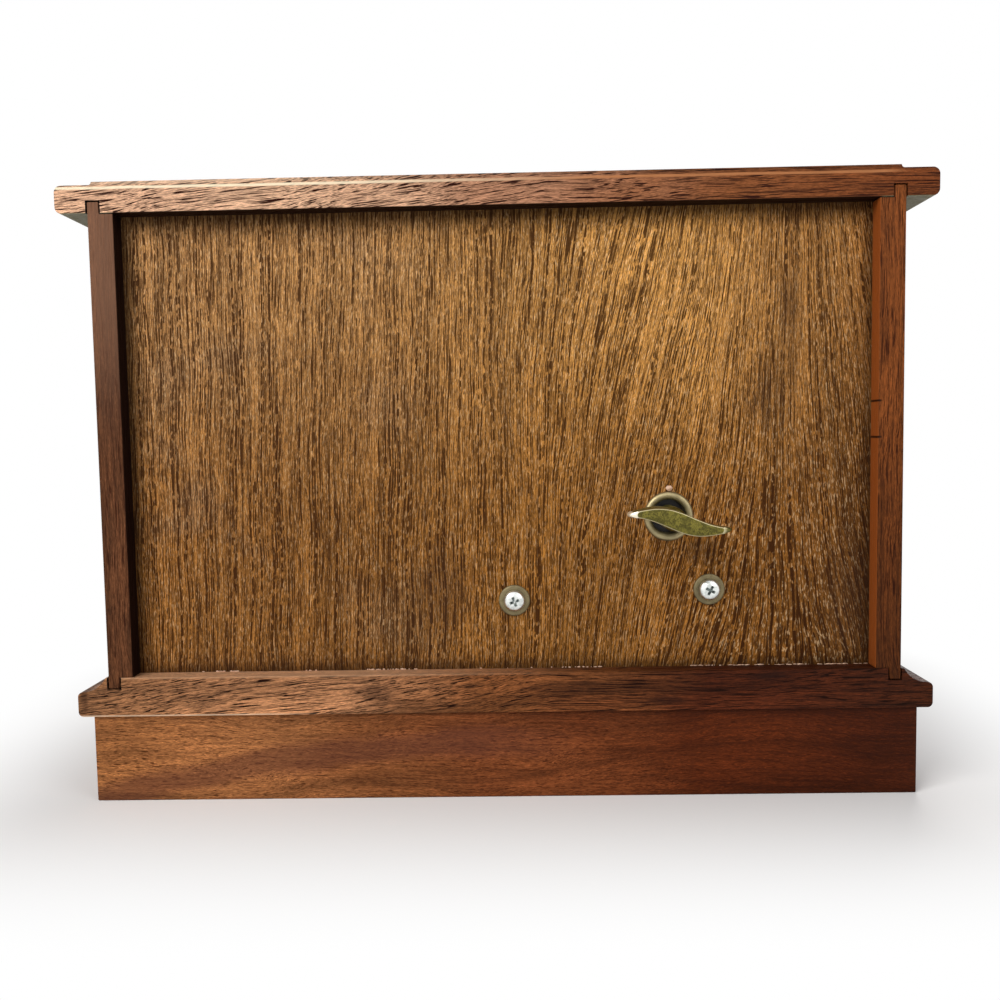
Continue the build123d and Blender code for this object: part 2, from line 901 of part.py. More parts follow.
def make_governor_wheel():
    """The second axle: a pinion in mesh with the drive wheel, and a wheel that turns the worm."""
    radius = drive_radius * governor_teeth / drive_teeth
    pinion = wheel_along_x(
        toothed_face(governor_teeth, radius, tooth_tip, tooth_root),
        cylinder_start + cylinder_length + drive_gap,
        wheel_face,
        axle_height,
        governor_reach,
        180 / governor_teeth - 90,
    )
    wheel = wheel_along_x(
        toothed_face(worm_wheel_teeth, worm_wheel_radius, tooth_tip, tooth_root),
        worm_wheel_place - worm_wheel_face / 2,
        worm_wheel_face,
        axle_height,
        governor_reach,
        90,
    )
    low, high = left_cheek - small_spindle_end, right_cheek + cheek_thickness + small_spindle_end
    return spindle(low, high, small_spindle, governor_reach) + pinion + wheel


def make_worm(pitch, length):
    """A worm on Z: its ridges climb one flat side at each step and run out on a collar at both ends."""
    step_rise = worm_starts * pitch / worm_sides
    steps = round(length / step_rise)
    levels = [(-worm_collar, None)]
    levels += [(step * step_rise, step) for step in range(steps + 1)]
    levels += [(length + worm_collar, None)]
    rings = []
    for level, step in levels:
        ring = []
        for side in range(worm_sides):
            on_ridge = step is not None and (side - step) % (worm_sides // worm_starts) == 0
            radius = worm_tip if on_ridge else worm_core
            turn = 2 * math.pi * side / worm_sides
            ring.append((radius * math.cos(turn), radius * math.sin(turn), level))
        rings.append(ring)
    return faceted(rings)


def make_fan():
    """The air brake: a worm on an upright spindle with two flat blades below it."""
    body = cylinder_between(plate_thickness + foot_play, governor_top, fan_spindle)
    pitch = 2 * math.pi * worm_wheel_radius / worm_wheel_teeth
    length = worm_threads * pitch
    low = axle_height - length / 2
    phase = 270 - 180 * (1 + worm_threads) / worm_starts
    body += Pos(0, 0, low) * Rotation(0, 0, phase) * make_worm(pitch, length)
    body += box_between((-fan_radius, -fan_blade / 2, fan_low), (fan_radius, fan_blade / 2, fan_high))
    return Pos(worm_wheel_place, fan_reach, 0) * body


def make_governor_frame():
    """A sheet frame: a foot, two cheeks for the second axle and a bridge over the worm."""
    end = right_cheek + cheek_thickness
    bridge_near, bridge_far = fan_reach - bridge_half_width, fan_reach + bridge_half_width
    frame = box_between(
        (left_cheek, cheek_near, plate_thickness), (end, cheek_far, plate_thickness + cheek_thickness)
    )
    for start in (left_cheek, right_cheek):
        frame += box_between(
            (start, cheek_near, plate_thickness), (start + cheek_thickness, bridge_far, governor_top)
        )
    frame += box_between(
        (left_cheek, bridge_near, governor_top - cheek_thickness), (end, bridge_far, governor_top)
    )
    frame -= spindle(left_cheek - 1, end + 1, small_spindle + turning_play, governor_reach)
    pivot = cylinder_between(plate_thickness + foot_play / 2, governor_top + 1, fan_spindle + turning_play)
    return frame - Pos(worm_wheel_place, fan_reach, 0) * pivot


def make_stop_lever():
    """A bent strip on a hub. Its finger lies behind the middle drawer, and its nib stands by the fan."""
    tip_height = drawer_back_height - lever_push_gap
    reach, t = lever_pin_reach, lever_strip / 2
    strip = [
        (reach - t, lever_pin_height),
        (reach + t, lever_pin_height),
        (reach + t, lever_knee),
        (lever_finger_reach, tip_height),
        (lever_finger_reach, tip_height - 2 * t),
        (reach - t, lever_knee - 2 * t),
    ]
    nib_reach = fan_reach + fan_radius + lever_tip_gap
    nib = [
        (nib_reach, lever_tip_height - t),
        (reach, lever_tip_height - t),
        (reach, lever_tip_height + t),
        (nib_reach, lever_tip_height + t),
    ]
    lever = None
    for points in (strip, nib):
        bar = extrude(Plane.YZ * make_face(Polyline(*points, close=True)), amount=lever_half_width, both=True)
        lever = bar if lever is None else lever + bar
    lever = Pos(worm_wheel_place, 0, 0) * lever
    low, high = worm_wheel_place - lever_half_width, worm_wheel_place + lever_half_width
    lever += Pos(0, reach, lever_pin_height) * cylinder_between(low, high, lever_hub_radius, Plane.YZ)
    return lever - lever_pin(lever_pin_radius + turning_play)


def mount_places():
    """Where the two movement screws stand on the bench."""
    return [Pos(x, -screw_drop, 0) for x in (-screw_near, screw_far)]


def make_eyelet():
    """An eyelet that lines the key's hole in the panel, with a sloping lip outside."""
    face = -panel_thickness
    tube = eyelet_bore + eyelet_wall
    section = make_face(
        Polyline(
            (eyelet_bore, -eyelet_setback),
            (tube, -eyelet_setback),
            (tube, face),
            (eyelet_radius, face),
            (eyelet_crest, face - eyelet_lip),
            (eyelet_bore, face - eyelet_lip),
            close=True,
        )
    )
    return revolve(Plane.XZ * section, Axis.Z)


def make_mount_screws():
    """Pan-head screws through washer and panel into the bedplate."""
    under = -panel_thickness - washer_thickness
    top = under - mount_head_height
    head = cylinder_between(top, under, mount_head_radius)
    head = chamfer(head.edges().sort_by(Axis.Z)[0], mount_head_edge)
    screw = head + cylinder_between(under, under + mount_screw_length, mount_screw_radius)
    return [place * screw for place in mount_places()]


def make_washers():
    low = -panel_thickness - washer_thickness
    ring = cylinder_between(low, -panel_thickness, washer_radius)
    ring -= cylinder_between(low - 1, 0, washer_hole_radius)
    return [place * ring for place in mount_places()]


def movement_pieces():
    """Every piece of the movement and of its fixing, by node name."""
    return {
        "movement_bedplate": make_bedplate(),
        "tone_comb": make_comb(),
        "comb_screws": make_comb_screws(),
        "spring_barrel": make_barrel(),
        "mainspring": make_mainspring(),
        "governor_frame": make_governor_frame(),
        "stop_lever_pin": lever_pin(lever_pin_radius - glue_gap / 2),
        "winding_key": make_key(),
        "winding_arbor": make_arbor(),
        "crown_wheel": make_crown_wheel(),
        "pinned_cylinder": make_cylinder(),
        "cylinder_spindle": make_cylinder_spindle(),
        "cylinder_pinion": make_pinion(),
        "cylinder_drive_wheel": make_drive_wheel(),
        "governor_wheel": make_governor_wheel(),
        "governor_fan": make_fan(),
        "stop_lever": make_stop_lever(),
        "keyhole_eyelet": make_eyelet(),
        "movement_screws": make_mount_screws(),
        "screw_washers": make_washers(),
    }


def main():
    os.makedirs("parts", exist_ok=True)
    side = make_side()
    nodes = {
        "top_board": make_top_board(),
        "base_board": make_base_board(),
        "side_left": mirrored(side),
        "side_right": side,
        "back_panel": make_back_panel(),
        "upper_shelf": make_shelf(2, panel_inner_y - front_y),
        "lower_shelf": make_shelf(1, lower_shelf_depth),
        "plinth_glue_blocks": make_glue_blocks(),
        "drawer_stops": make_drawer_stops(),
    }
    nodes.update(make_plinth())
    top_drawer = Drawer(2, full_drawer_depth)
    nodes.update(top_drawer.pieces("top_drawer"))
    nodes.update(Drawer(1, short_drawer_depth).pieces("middle_drawer"))
    nodes.update(Drawer(0, short_drawer_depth).pieces("bottom_drawer"))
    nodes["ring_cushion"] = make_ring_cushion(top_drawer)
    for name, shape in movement_pieces().items():
        placed = [in_chest(piece) for piece in shape] if isinstance(shape, list) else in_chest(shape)
        nodes[name] = placed
    for name, shape in nodes.items():
        save(name, shape)


if __name__ == "__main__":
    main()
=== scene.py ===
import json
import math
import random

import bmesh
import bpy
from bpy.props import FloatProperty, FloatVectorProperty, IntProperty, PointerProperty
from bpy.types import Operator, Panel, PropertyGroup
from mathutils import Matrix, Vector


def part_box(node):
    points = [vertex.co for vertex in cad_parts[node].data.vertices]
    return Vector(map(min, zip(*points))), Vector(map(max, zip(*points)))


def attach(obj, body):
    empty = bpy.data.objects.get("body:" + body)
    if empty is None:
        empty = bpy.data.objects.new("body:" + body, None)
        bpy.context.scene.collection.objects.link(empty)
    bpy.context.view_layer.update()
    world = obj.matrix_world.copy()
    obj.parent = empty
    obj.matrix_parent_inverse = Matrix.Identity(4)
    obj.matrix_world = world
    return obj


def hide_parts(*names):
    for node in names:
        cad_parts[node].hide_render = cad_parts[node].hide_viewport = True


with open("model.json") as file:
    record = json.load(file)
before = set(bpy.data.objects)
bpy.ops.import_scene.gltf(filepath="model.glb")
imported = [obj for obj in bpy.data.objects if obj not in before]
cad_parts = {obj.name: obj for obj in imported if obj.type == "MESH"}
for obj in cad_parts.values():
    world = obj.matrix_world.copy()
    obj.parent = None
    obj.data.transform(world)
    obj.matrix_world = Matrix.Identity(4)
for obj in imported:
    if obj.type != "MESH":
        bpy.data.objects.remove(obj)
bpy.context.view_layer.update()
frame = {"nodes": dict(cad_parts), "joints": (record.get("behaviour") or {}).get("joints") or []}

bl_info = {
    "name": "Musical Jewellery Chest",
    "version": (1, 0, 0),
    "blender": (4, 5, 0),
    "location": "3D View > Sidebar > Chest",
    "description": "Woods, metals, cushion and studio for a small musical jewellery chest",
    "category": "Object",
}

MM = 0.001


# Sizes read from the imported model


def box_mm(node):
    """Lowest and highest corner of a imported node, in millimetres."""
    low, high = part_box(node)
    return low / MM, high / MM


def loose_parts(node):
    """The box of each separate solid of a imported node, in millimetres, from -X to +X."""
    bm = packed(node)
    waiting, boxes = set(bm.verts), []
    while waiting:
        stack, found = [waiting.pop()], []
        while stack:
            vert = stack.pop()
            found.append(vert.co.copy())
            beside = {edge.other_vert(vert) for edge in vert.link_edges} & waiting
            waiting -= beside
            stack += beside
        boxes.append([Vector([end(c[i] for c in found) for i in range(3)]) for end in (min, max)])
    bm.free()
    return sorted(boxes, key=lambda b: b[0].x)


def packed(node):
    """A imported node's mesh in millimetres, with its shared corners welded."""
    bm = bmesh.new()
    bm.from_mesh(frame["nodes"][node].data)
    bmesh.ops.scale(bm, vec=(1 / MM, 1 / MM, 1 / MM), verts=bm.verts)
    bmesh.ops.remove_doubles(bm, verts=bm.verts, dist=1e-3)
    return bm


JOINTS = {joint["name"]: joint for joint in frame["joints"]}
PANEL_LOW, PANEL_HIGH = box_mm("back_panel")
PANEL_FACE = PANEL_HIGH.y
PANEL_THICKNESS = PANEL_HIGH.y - PANEL_LOW.y
KEY_AXIS = Vector(JOINTS["key_turn"]["pos_m"]) / MM
BENCH_X = JOINTS["cylinder_turn"]["axis"]
TILT = math.atan2(-BENCH_X[2], BENCH_X[0])
BENCH = (
    Matrix.Translation((KEY_AXIS.x, PANEL_LOW.y, KEY_AXIS.z))
    @ Matrix.Rotation(TILT, 4, "Y")
    @ Matrix.Rotation(math.pi / 2, 4, "X")
)

# Places that the stains, the painted light and shade, and the grain follow, in millimetres

CHEST_WIDTH = 203
PANEL_WIDTH = 184
PANEL_MIDDLE = 85.0
SLANT_START = -12.0
BACK_EDGE = (53.0, 55.0)
JOINT_X, JOINT_HALF = 92.65, 1.72
SEAM_BLACK = (10, 4, 3)

# The photograph's camera, as its points were fitted, in millimetres

CAMERA_PLACE = (-4.275, 276.0, 86.57)
CAMERA_RIGHT = (-0.99971, -0.01689, -0.01694)
CAMERA_BACK = (-0.01801, 0.99752, 0.06810)
CAMERA_LENS, CAMERA_SENSOR = 33.94, 36.0

DRAWERS = ("top", "middle", "bottom")


# Making and placing meshes


def add_mesh(name, bm):
    """A linked object made from a bmesh."""
    mesh = bpy.data.meshes.new(name)
    bm.to_mesh(mesh)
    bm.free()
    obj = bpy.data.objects.new(name, mesh)
    bpy.context.scene.collection.objects.link(obj)
    return obj


def finish_piece(name, bm, body, material, stands_for=(), slot=None, smooth_angle=40.0, place=None):
    """Turns a bmesh in millimetres into a finished object that rides on a body."""
    bmesh.ops.recalc_face_normals(bm, faces=bm.faces)
    if place is not None:
        bmesh.ops.transform(bm, matrix=place, verts=bm.verts)
    bmesh.ops.scale(bm, vec=(MM, MM, MM), verts=bm.verts)
    obj = add_mesh(name, bm)
    for polygon in obj.data.polygons:
        polygon.use_smooth = True
    obj.data.set_sharp_from_angle(angle=math.radians(smooth_angle))
    obj.data.materials.append(material)
    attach(obj, body)
    if stands_for:
        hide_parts(*stands_for)
    return obj


def move(bm, *steps):
    """Moves a bmesh by matrices, the last one first."""
    matrix = steps[0]
    for step in steps[1:]:
        matrix = matrix @ step
    bmesh.ops.transform(bm, matrix=matrix, verts=bm.verts)


def ease(bm, edges, width, segments, clamp=False):
    """Rounds some edges of a bmesh."""
    bmesh.ops.bevel(
        bm, geom=edges, offset=width, offset_type="OFFSET", segments=segments, profile=0.5, affect="EDGES",
        clamp_overlap=clamp, material=-1,
    )


def turned(profile, steps, *places):
    """A lathe piece about Z from (radius, height) points, bottom to top or round a closed loop,
    which is then moved by the matrices, the last one first."""
    bm = bmesh.new()
    verts = [bm.verts.new((r, 0, h)) for r, h in profile]
    for a, b in zip(verts, verts[1:]):
        bm.edges.new((a, b))
    if profile[0][0] > 0 and profile[-1][0] > 0:
        bm.edges.new((verts[-1], verts[0]))
    bmesh.ops.spin(
        bm, geom=list(bm.verts) + list(bm.edges), cent=(0, 0, 0), axis=(0, 0, 1),
        angle=2 * math.pi, steps=steps, use_merge=True,
    )
    bmesh.ops.remove_doubles(bm, verts=bm.verts, dist=1e-5)
    if places:
        move(bm, *places)
    return bm


def skin(around, along, shape):
    """A grid rolled into a closed skin by shape(u, v): u runs round and v runs along."""
    bm = bmesh.new()
    bmesh.ops.create_grid(bm, x_segments=around, y_segments=along, size=0.5)
    for vert in bm.verts:
        vert.co = shape(vert.co.x + 0.5, vert.co.y + 0.5)
    bmesh.ops.remove_doubles(bm, verts=bm.verts, dist=1e-5)
    bmesh.ops.holes_fill(bm, edges=bm.edges, sides=0)
    return bm


def block(low, high):
    """A box between two corners."""
    bm = bmesh.new()
    size = [h - l for l, h in zip(low, high)]
    middle = [(h + l) / 2 for l, h in zip(low, high)]
    bmesh.ops.create_cube(bm, size=1, matrix=Matrix.Translation(middle) @ Matrix.Diagonal((*size, 1)))
    return bm


def joined(parts):
    """One bmesh from several."""
    whole = bmesh.new()
    for part in parts:
        mesh = bpy.data.meshes.new("part")
        part.to_mesh(mesh)
        part.free()
        whole.from_mesh(mesh)
        bpy.data.meshes.remove(mesh)
    return whole


def eased_board(node, body, material, width, slot, segments=2):
    """A board's looks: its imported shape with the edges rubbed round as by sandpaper."""
    bm = packed(node)
    bmesh.ops.recalc_face_normals(bm, faces=bm.faces)
    bmesh.ops.dissolve_limit(
        bm, angle_limit=math.radians(1), use_dissolve_boundaries=False, verts=bm.verts, edges=bm.edges
    )
    corner = math.radians(32)
    sharp = [e for e in bm.edges if len(e.link_faces) == 2 and e.calc_face_angle(0) > corner]
    ease(bm, sharp, width, segments, clamp=True)
    obj = finish_piece(f"{node}_board", bm, body, material, (node,), slot, 60.0)
    obj.modifiers.new("even shading", "WEIGHTED_NORMAL").keep_sharp = True


def paint(material, *nodes):
    """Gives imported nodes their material."""
    for node in nodes:
        mesh = frame["nodes"][node].data
        mesh.materials.clear()
        mesh.materials.append(material)


# Materials


def srgb(*displayed):
    """A displayed colour of 0 to 255 as the linear colour of a shader."""
    parts = [value / 255 for value in displayed]
    return (*[v / 12.92 if v <= 0.04045 else ((v + 0.055) / 1.055) ** 2.4 for v in parts], 1.0)


def math_call(operation):
    """A method of Nodes that adds one Math node."""

    def call(self, *values):
        return self.node("Math", dict(enumerate((*values, 0.0, 0.0)[:3])), operation=operation).outputs[0]

    return call


class Nodes:
    """Short calls that add nodes to one tree."""

    def __init__(self, tree):
        self.tree = tree
        tree.nodes.clear()

    def put(self, socket, value):
        if isinstance(value, bpy.types.NodeSocket):
            self.tree.links.new(value, socket)
        else:
            socket.default_value = value

    def node(self, kind, inputs, **settings):
        made = self.tree.nodes.new(f"ShaderNode{kind}")
        for key, value in settings.items():
            setattr(made, key, value)
        for key, value in inputs.items():
            self.put(made.inputs[key], value)
        return made

    times = math_call("MULTIPLY")
    plus = math_call("ADD")
    minus = math_call("SUBTRACT")
    larger = math_call("MAXIMUM")
    smaller = math_call("MINIMUM")
    less = math_call("LESS_THAN")
    root = math_call("SQRT")
    size = math_call("ABSOLUTE")
    line = math_call("MULTIPLY_ADD")

    def flip(self, value):
        """1 less the value."""
        return self.minus(1.0, value)


class Shader(Nodes):
    """The nodes of one new material, with its point in millimetres."""

    def __init__(self, name):
        self.material = bpy.data.materials.new(name)
        self.material.use_nodes = True
        super().__init__(self.material.node_tree)
        coords = self.node("TexCoord", {})
        self.point = self.vector("MULTIPLY", coords.outputs["Object"], (1 / MM, 1 / MM, 1 / MM))

    def vector(self, operation, a, b):
        made = self.node("VectorMath", {0: a}, operation=operation)
        self.put(made.inputs["Scale"] if operation == "SCALE" else made.inputs[1], b)
        return made.outputs["Vector"]

    def split(self, vector):
        return list(self.node("SeparateXYZ", {0: vector}).outputs)

    def merge(self, x, y, z):
        return self.node("CombineXYZ", {0: x, 1: y, 2: z}).outputs[0]

    def noise(self, vector, scale=1.0, detail=2.0, roughness=0.5, distortion=0.0):
        names = ("Vector", "Scale", "Detail", "Roughness", "Distortion")
        values = (vector, scale, detail, roughness, distortion)
        return self.node("TexNoise", dict(zip(names, values))).outputs[0]

    def cloud(self, pitch, detail=2.0, roughness=0.5):
        """Noise over the object's own millimetres, with a pitch for each axis."""
        return self.noise(self.vector("MULTIPLY", self.point, pitch), 1.0, detail, roughness)

    def ramp(self, factor, stops, mode="LINEAR"):
        """Displayed colours, or plain values, by factor."""
        made = self.node("ValToRGB", {0: factor})
        band = made.color_ramp
        band.interpolation = mode
        while len(band.elements) < len(stops):
            band.elements.new(0.5)
        for element, (place, colour) in zip(band.elements, stops):
            element.position = place
            element.color = srgb(*colour) if isinstance(colour, tuple) else (colour, colour, colour, 1.0)
        return made.outputs["Color"]

    def step(self, value, low, high):
        """0 below low, 1 above high and smooth between."""
        made = self.node("MapRange", {"Value": value, "From Min": low, "From Max": high})
        made.interpolation_type = "SMOOTHSTEP"
        return made.outputs["Result"]

    def falling(self, value, high, low):
        """1 below low, 0 above high and smooth between, worked on the value's negative."""
        return self.step(self.times(value, -1.0), -high, -low)

    def below(self, value, low, high):
        """1 below low, 0 above high and smooth between."""
        return self.flip(self.step(value, low, high))

    def mix(self, factor, a, b):
        """Two colours by factor. A plain triple is a displayed colour."""
        made = self.node("Mix", {}, data_type="RGBA")
        for index, value in ((0, factor), (6, a), (7, b)):
            shown = isinstance(value, tuple) and len(value) == 3
            self.put(made.inputs[index], srgb(*value) if shown else value)
        return made.outputs[2]

    def over(self, colour, stain, mask, strength):
        """A stain laid over the colour where the mask is, as strong as strength."""
        return self.mix(self.times(mask, strength), colour, stain)

    def tint(self, colour, factor, dark, light):
        """The colour made darker or lighter by a 0 to 1 factor."""
        return self.vector("SCALE", colour, self.line(factor, light - dark, dark))

    def close(self, colour, roughness, height, bump, distance, **others):
        """Ends the material with its colour, roughness, bump and other inputs of the shader."""
        made = self.node("BsdfPrincipled", {"Base Color": colour, "Roughness": roughness})
        for key, value in others.items():
            self.put(made.inputs[key.replace("_", " ")], value)
        bumped = self.node("Bump", {"Strength": bump, "Distance": distance * MM, "Height": height})
        self.put(made.inputs["Normal"], bumped.outputs[0])
        return self.ended(made)

    def ended(self, shader):
        """Joins the last shader to the output."""
        self.node("OutputMaterial", {0: shader.outputs[0]})
        return self.material


class Grain:
    """Wood coordinates in mm, two across the grain and one along it, and the marks made on them."""

    def __init__(self, s, across, depth, along):
        self.s, self.across, self.depth, self.along = s, across, depth, along

    def noise(self, thin, long, seed, detail=1.0, roughness=0.5, distortion=0.0):
        """Noise of a given spacing across and along the grain, in mm.

        The middle coordinate is sheared, so that no flat face lies in one layer of the noise."""
        s = self.s
        first = s.line(self.across, 1 / thin, seed)
        third = s.line(self.along, 1 / long, seed * 1.3)
        second = s.line(self.depth, 1 / thin, seed * 0.7)
        second = s.line(third, 0.37, s.line(first, 0.31, second))
        return s.noise(s.merge(first, second, third), 1.0, detail, roughness, distortion)

    def dashes(self, thin, long, low, high, seed):
        """1 in thin marks that run along the grain, and 0 between them."""
        return self.s.below(self.noise(thin, long, seed), low, high)

    def glint_mask(self, thin, long, low, high, seed):
        """1 in short marks along the grain where painted glints go, and 0 between them."""
        return self.s.step(self.noise(thin, long, seed), low, high)


def board_grain(s, along, sway, slant):
    """The grain of a board, with a slow sway and, where it has a slant, a lean across the board."""
    x, y, z = s.split(s.point)
    order = {"x": (z, y, x), "y": (x, z, y), "z": (x, y, z)}[along]
    slow = s.merge(*[s.times(v, k) for v, k in zip(order, (0.05, 0.05, 0.018))])
    bend = s.noise(slow, 1.0, 2.0, 0.45)
    shift = s.times(s.minus(bend, 0.5), sway * 8)
    across, depth = s.plus(order[0], shift), s.plus(order[1], shift)
    if slant:
        lift = s.times(s.larger(order[2], SLANT_START), slant)
        across, depth = s.plus(across, lift), s.plus(depth, s.times(lift, 0.4))
    return Grain(s, across, depth, order[2])


def near_spot(s, u, v, centre, size, ragged=None):
    """1 at a spot's centre and 0 outside its oval."""
    du, dv = (s.line(c, 1 / half, -middle / half) for c, middle, half in zip((u, v), centre, size))
    away = s.root(s.plus(s.times(du, du), s.times(dv, dv)))
    if ragged is not None:
        away = s.plus(away, s.line(ragged, 1.2, -0.6))
    return s.below(away, 0.2, 1.2)


def spotted(s, colour, stain, ragged, spots):
    """Spots of a colour laid over the surface: each has its centre, its size and its strength."""
    x, _, z = s.split(s.point)
    for centre, size, strength in spots:
        colour = s.over(colour, stain, near_spot(s, x, z, centre, size, ragged), strength)
    return colour


def side_ramp(s, stops):
    """Colours across the chest, from +X (0) to -X (1)."""
    wobble = s.cloud((0.03, 0.03, 0.05), 3.0, 0.55)
    place = s.line(s.split(s.point)[0], -1 / CHEST_WIDTH, 0.5)
    return s.ramp(s.plus(place, s.line(wobble, 0.24, -0.12)), stops, "EASE")


def wood(
    name, along, stops, pore, pore_cut, pore_depth=0.9, pores=(0.28, 3.6), slant=0.0, figure=(9.0, 120.0),
    contrast=0.2, glint_strength=0.0, roughness=0.45, bump=0.5, sway=0.6, seed=1.0, extra=None,
):
    """A stained open-grained wood, with painted glints along the grain when asked for. stops are displayed
    colours from the +X end to the -X end.
    """
    s = Shader(name)
    grain = board_grain(s, along, sway, slant)
    colour = side_ramp(s, stops)
    bands = grain.noise(*figure, seed, 3.0, 0.55, 0.3)
    streaks = grain.noise(0.55, 18.0, seed + 3, 2.0, 0.55)
    fibre = grain.noise(0.17, 1.2, seed + 7, 2.0, 0.6)
    colour = s.tint(colour, s.step(bands, 0.32, 0.68), 1 - contrast, 1 + contrast)
    colour = s.tint(colour, s.step(streaks, 0.36, 0.64), 1 - contrast * 0.7, 1 + contrast * 0.7)
    colour = s.tint(colour, s.step(fibre, 0.3, 0.7), 0.7, 1.34)
    thin, long = pores
    wide_pores = grain.dashes(thin, long, pore_cut - 0.05, pore_cut + 0.03, seed + 11)
    fine_pores = grain.dashes(thin * 0.55, long * 0.45, 0.33, 0.42, seed + 23)
    hole = s.larger(wide_pores, s.times(fine_pores, 0.6))
    colour = s.over(colour, pore, hole, pore_depth)
    # Painted highlight: short glints along the grain, a brighter copy of the colour.
    if glint_strength:
        light = grain.glint_mask(0.2, 1.2, 0.62, 0.7, seed + 31)
        colour = s.over(colour, s.vector("SCALE", colour, 1.9), light, glint_strength)
    if extra is not None:
        colour = extra(s, colour)
    height = s.minus(s.times(fibre, 0.3), hole)
    gloss = s.line(s.minus(streaks, 0.5), 0.3, s.line(hole, 0.25, roughness))
    return s.close(colour, gloss, height, bump, 0.08, Specular_IOR_Level=0.08)


def panel_veneer(look):
    """The back panel's coarse golden veneer, with a painted sheen, painted glints, painted shade along its
    edges and a painted shadow below the key. Its grain fans out and leans towards one side.
    """
    s = Shader("panel_veneer")
    x, _, z = s.split(s.point)
    place = s.line(x, -1 / PANEL_WIDTH, 0.5)
    lean = s.ramp(
        place,
        [(0.0, 0.50), (0.27, 0.57), (0.44, 0.57), (0.51, 0.52), (0.58, 0.62), (0.67, 0.88), (0.76, 0.86),
         (0.83, 0.62), (0.88, 0.48), (0.94, 0.26), (0.98, 0.22)],
        "B_SPLINE",
    )
    lean = s.times(s.minus(lean, 0.5), -0.56)
    across = s.minus(x, s.times(lean, s.minus(z, PANEL_MIDDLE)))
    for wander, reach in ((s.cloud((0.045, 0.03, 0.022)), 4.0), (s.cloud((0.22, 0.1, 0.16), 1.0), 0.2)):
        across = s.line(s.minus(wander, 0.5), reach, across)
    grain = Grain(s, across, 0.0, z)
    streak = grain.noise(0.5, 30.0, 2.5, 2.0, 0.55)
    rows = grain.noise(0.55, 60.0, 44.5)
    band = grain.noise(9.0, 140.0, 5.5, 3.0, 0.6)
    fibre = grain.noise(0.18, 0.7, 8.5, 2.0, 0.6)

    # Upper colours across the panel; the bright stop at 0.75 is a painted sheen.
    upper = s.ramp(
        place,
        [(0.0, (164, 119, 71)), (0.35, (170, 123, 70)), (0.58, (176, 126, 65)),
         (0.75, (208, 150, 78)), (0.85, (178, 125, 64)), (1.0, (158, 107, 52))],
    )
    lower = s.ramp(
        place,
        [(0.0, (142, 94, 43)), (0.35, (140, 93, 41)), (0.6, (158, 105, 43)), (0.8, (142, 92, 36)),
         (0.92, (112, 71, 27)), (1.0, (104, 66, 24))],
    )
    colour = s.mix(s.step(z, 56.0, 132.0), lower, upper)
    grey = s.times(s.step(s.cloud((0.03, 0.02, 0.035), 3.0, 0.55), 0.5, 0.66), s.step(x, 0.0, 40.0))
    colour = s.over(colour, (128, 104, 80), grey, 0.35)
    colour = s.tint(colour, s.step(band, 0.34, 0.66), 0.86, 1.12)
    colour = s.tint(colour, s.step(streak, 0.36, 0.64), 0.84, 1.24)
    colour = s.tint(colour, s.step(fibre, 0.3, 0.7), 0.72, 1.4)

    thinned = s.line(s.step(rows, 0.46, 0.6), -0.6, 1.0)
    wide = s.times(grain.dashes(0.24, 9.0, 0.42, 0.465, 11.5), thinned)
    thin = grain.dashes(0.19, 2.6, 0.37, 0.43, 19.5)
    broken = s.step(grain.noise(0.8, 1.9, 51.5), 0.4, 0.5)
    dotted = s.times(grain.dashes(0.28, 70.0, 0.42, 0.465, 57.5), broken)
    hole = s.larger(s.larger(wide, dotted), s.times(thin, 0.8))
    colour = s.over(colour, (46, 17, 0), hole, look.pore_darkness)
    # Painted highlight: glints beside the pores, more of them towards -X, in a pale brightened colour.
    glint_share = s.line(s.falling(x, 30.0, -60.0), 0.25, 0.6)
    painted_glint = s.times(s.times(grain.glint_mask(0.22, 1.4, 0.57, 0.63, 31.5), glint_share), s.flip(hole))
    glint_colour = s.mix(0.55, s.vector("SCALE", colour, 1.5), (238, 206, 160))
    colour = s.over(colour, glint_colour, painted_glint, 0.85)

    # Dark spots on the veneer; the last one, below the key, is a painted shadow of the key.
    colour = spotted(s, colour, (60, 38, 24), streak, (
        ((14.0, 48.0), (9.0, 13.0), 0.4), ((-84.0, 46.0), (7.0, 20.0), 0.45),
        ((-62.5, 95.0), (5.0, 9.0), 0.35), ((-69.0, 108.0), (4.5, 34.0), 0.26),
        ((-68.4, 116.0), (3.0, 8.0), 0.3), ((40.0, 31.0), (70.0, 5.0), 0.2),
        ((-47.0, 58.5), (5.0, 4.0), 0.35),
    ))
    # Painted shade along the sides, under the top and along the foot above the ledge.
    edge = s.larger(s.step(s.size(x), 84.0, 88.5), s.step(z, 133.0, 140.0))
    edge = s.larger(edge, s.falling(z, 34.0, 30.0))
    colour = s.over(colour, (44, 24, 8), edge, 0.66)
    height = s.plus(s.times(fibre, 0.5), s.minus(s.times(painted_glint, 0.6), hole))
    gloss = s.line(fibre, 0.18, s.line(hole, 0.25, look.panel_roughness))
    return s.close(colour, gloss, height, 0.6, 0.1, Specular_IOR_Level=0.09)


def metal(name, colour, roughness, worn=None, spots=0.0, brushed=None, bump=0.15):
    """A metal finish: slight tarnish clouds, fine scratches and worn patches."""
    s = Shader(name)
    cloud = s.noise(s.point, 0.35, 4.0, 0.6)
    fine = s.noise(s.vector("MULTIPLY", s.point, brushed or (2.0, 2.0, 2.0)), 3.0, 3.0, 0.6)
    dull, clear = tuple(c * 0.86 for c in colour), tuple(min(255, c * 1.08) for c in colour)
    base = s.mix(s.step(cloud, 0.3, 0.7), dull, clear)
    if worn is not None:
        patch = s.step(s.noise(s.point, 1.4, 5.0, 0.7), 0.52, 0.62)
        base = s.over(base, worn, patch, spots)
    gloss = s.line(cloud, 0.12, s.line(fine, 0.22, roughness - 0.08))
    return s.close(base, gloss, fine, bump, 0.02, Metallic=1.0)


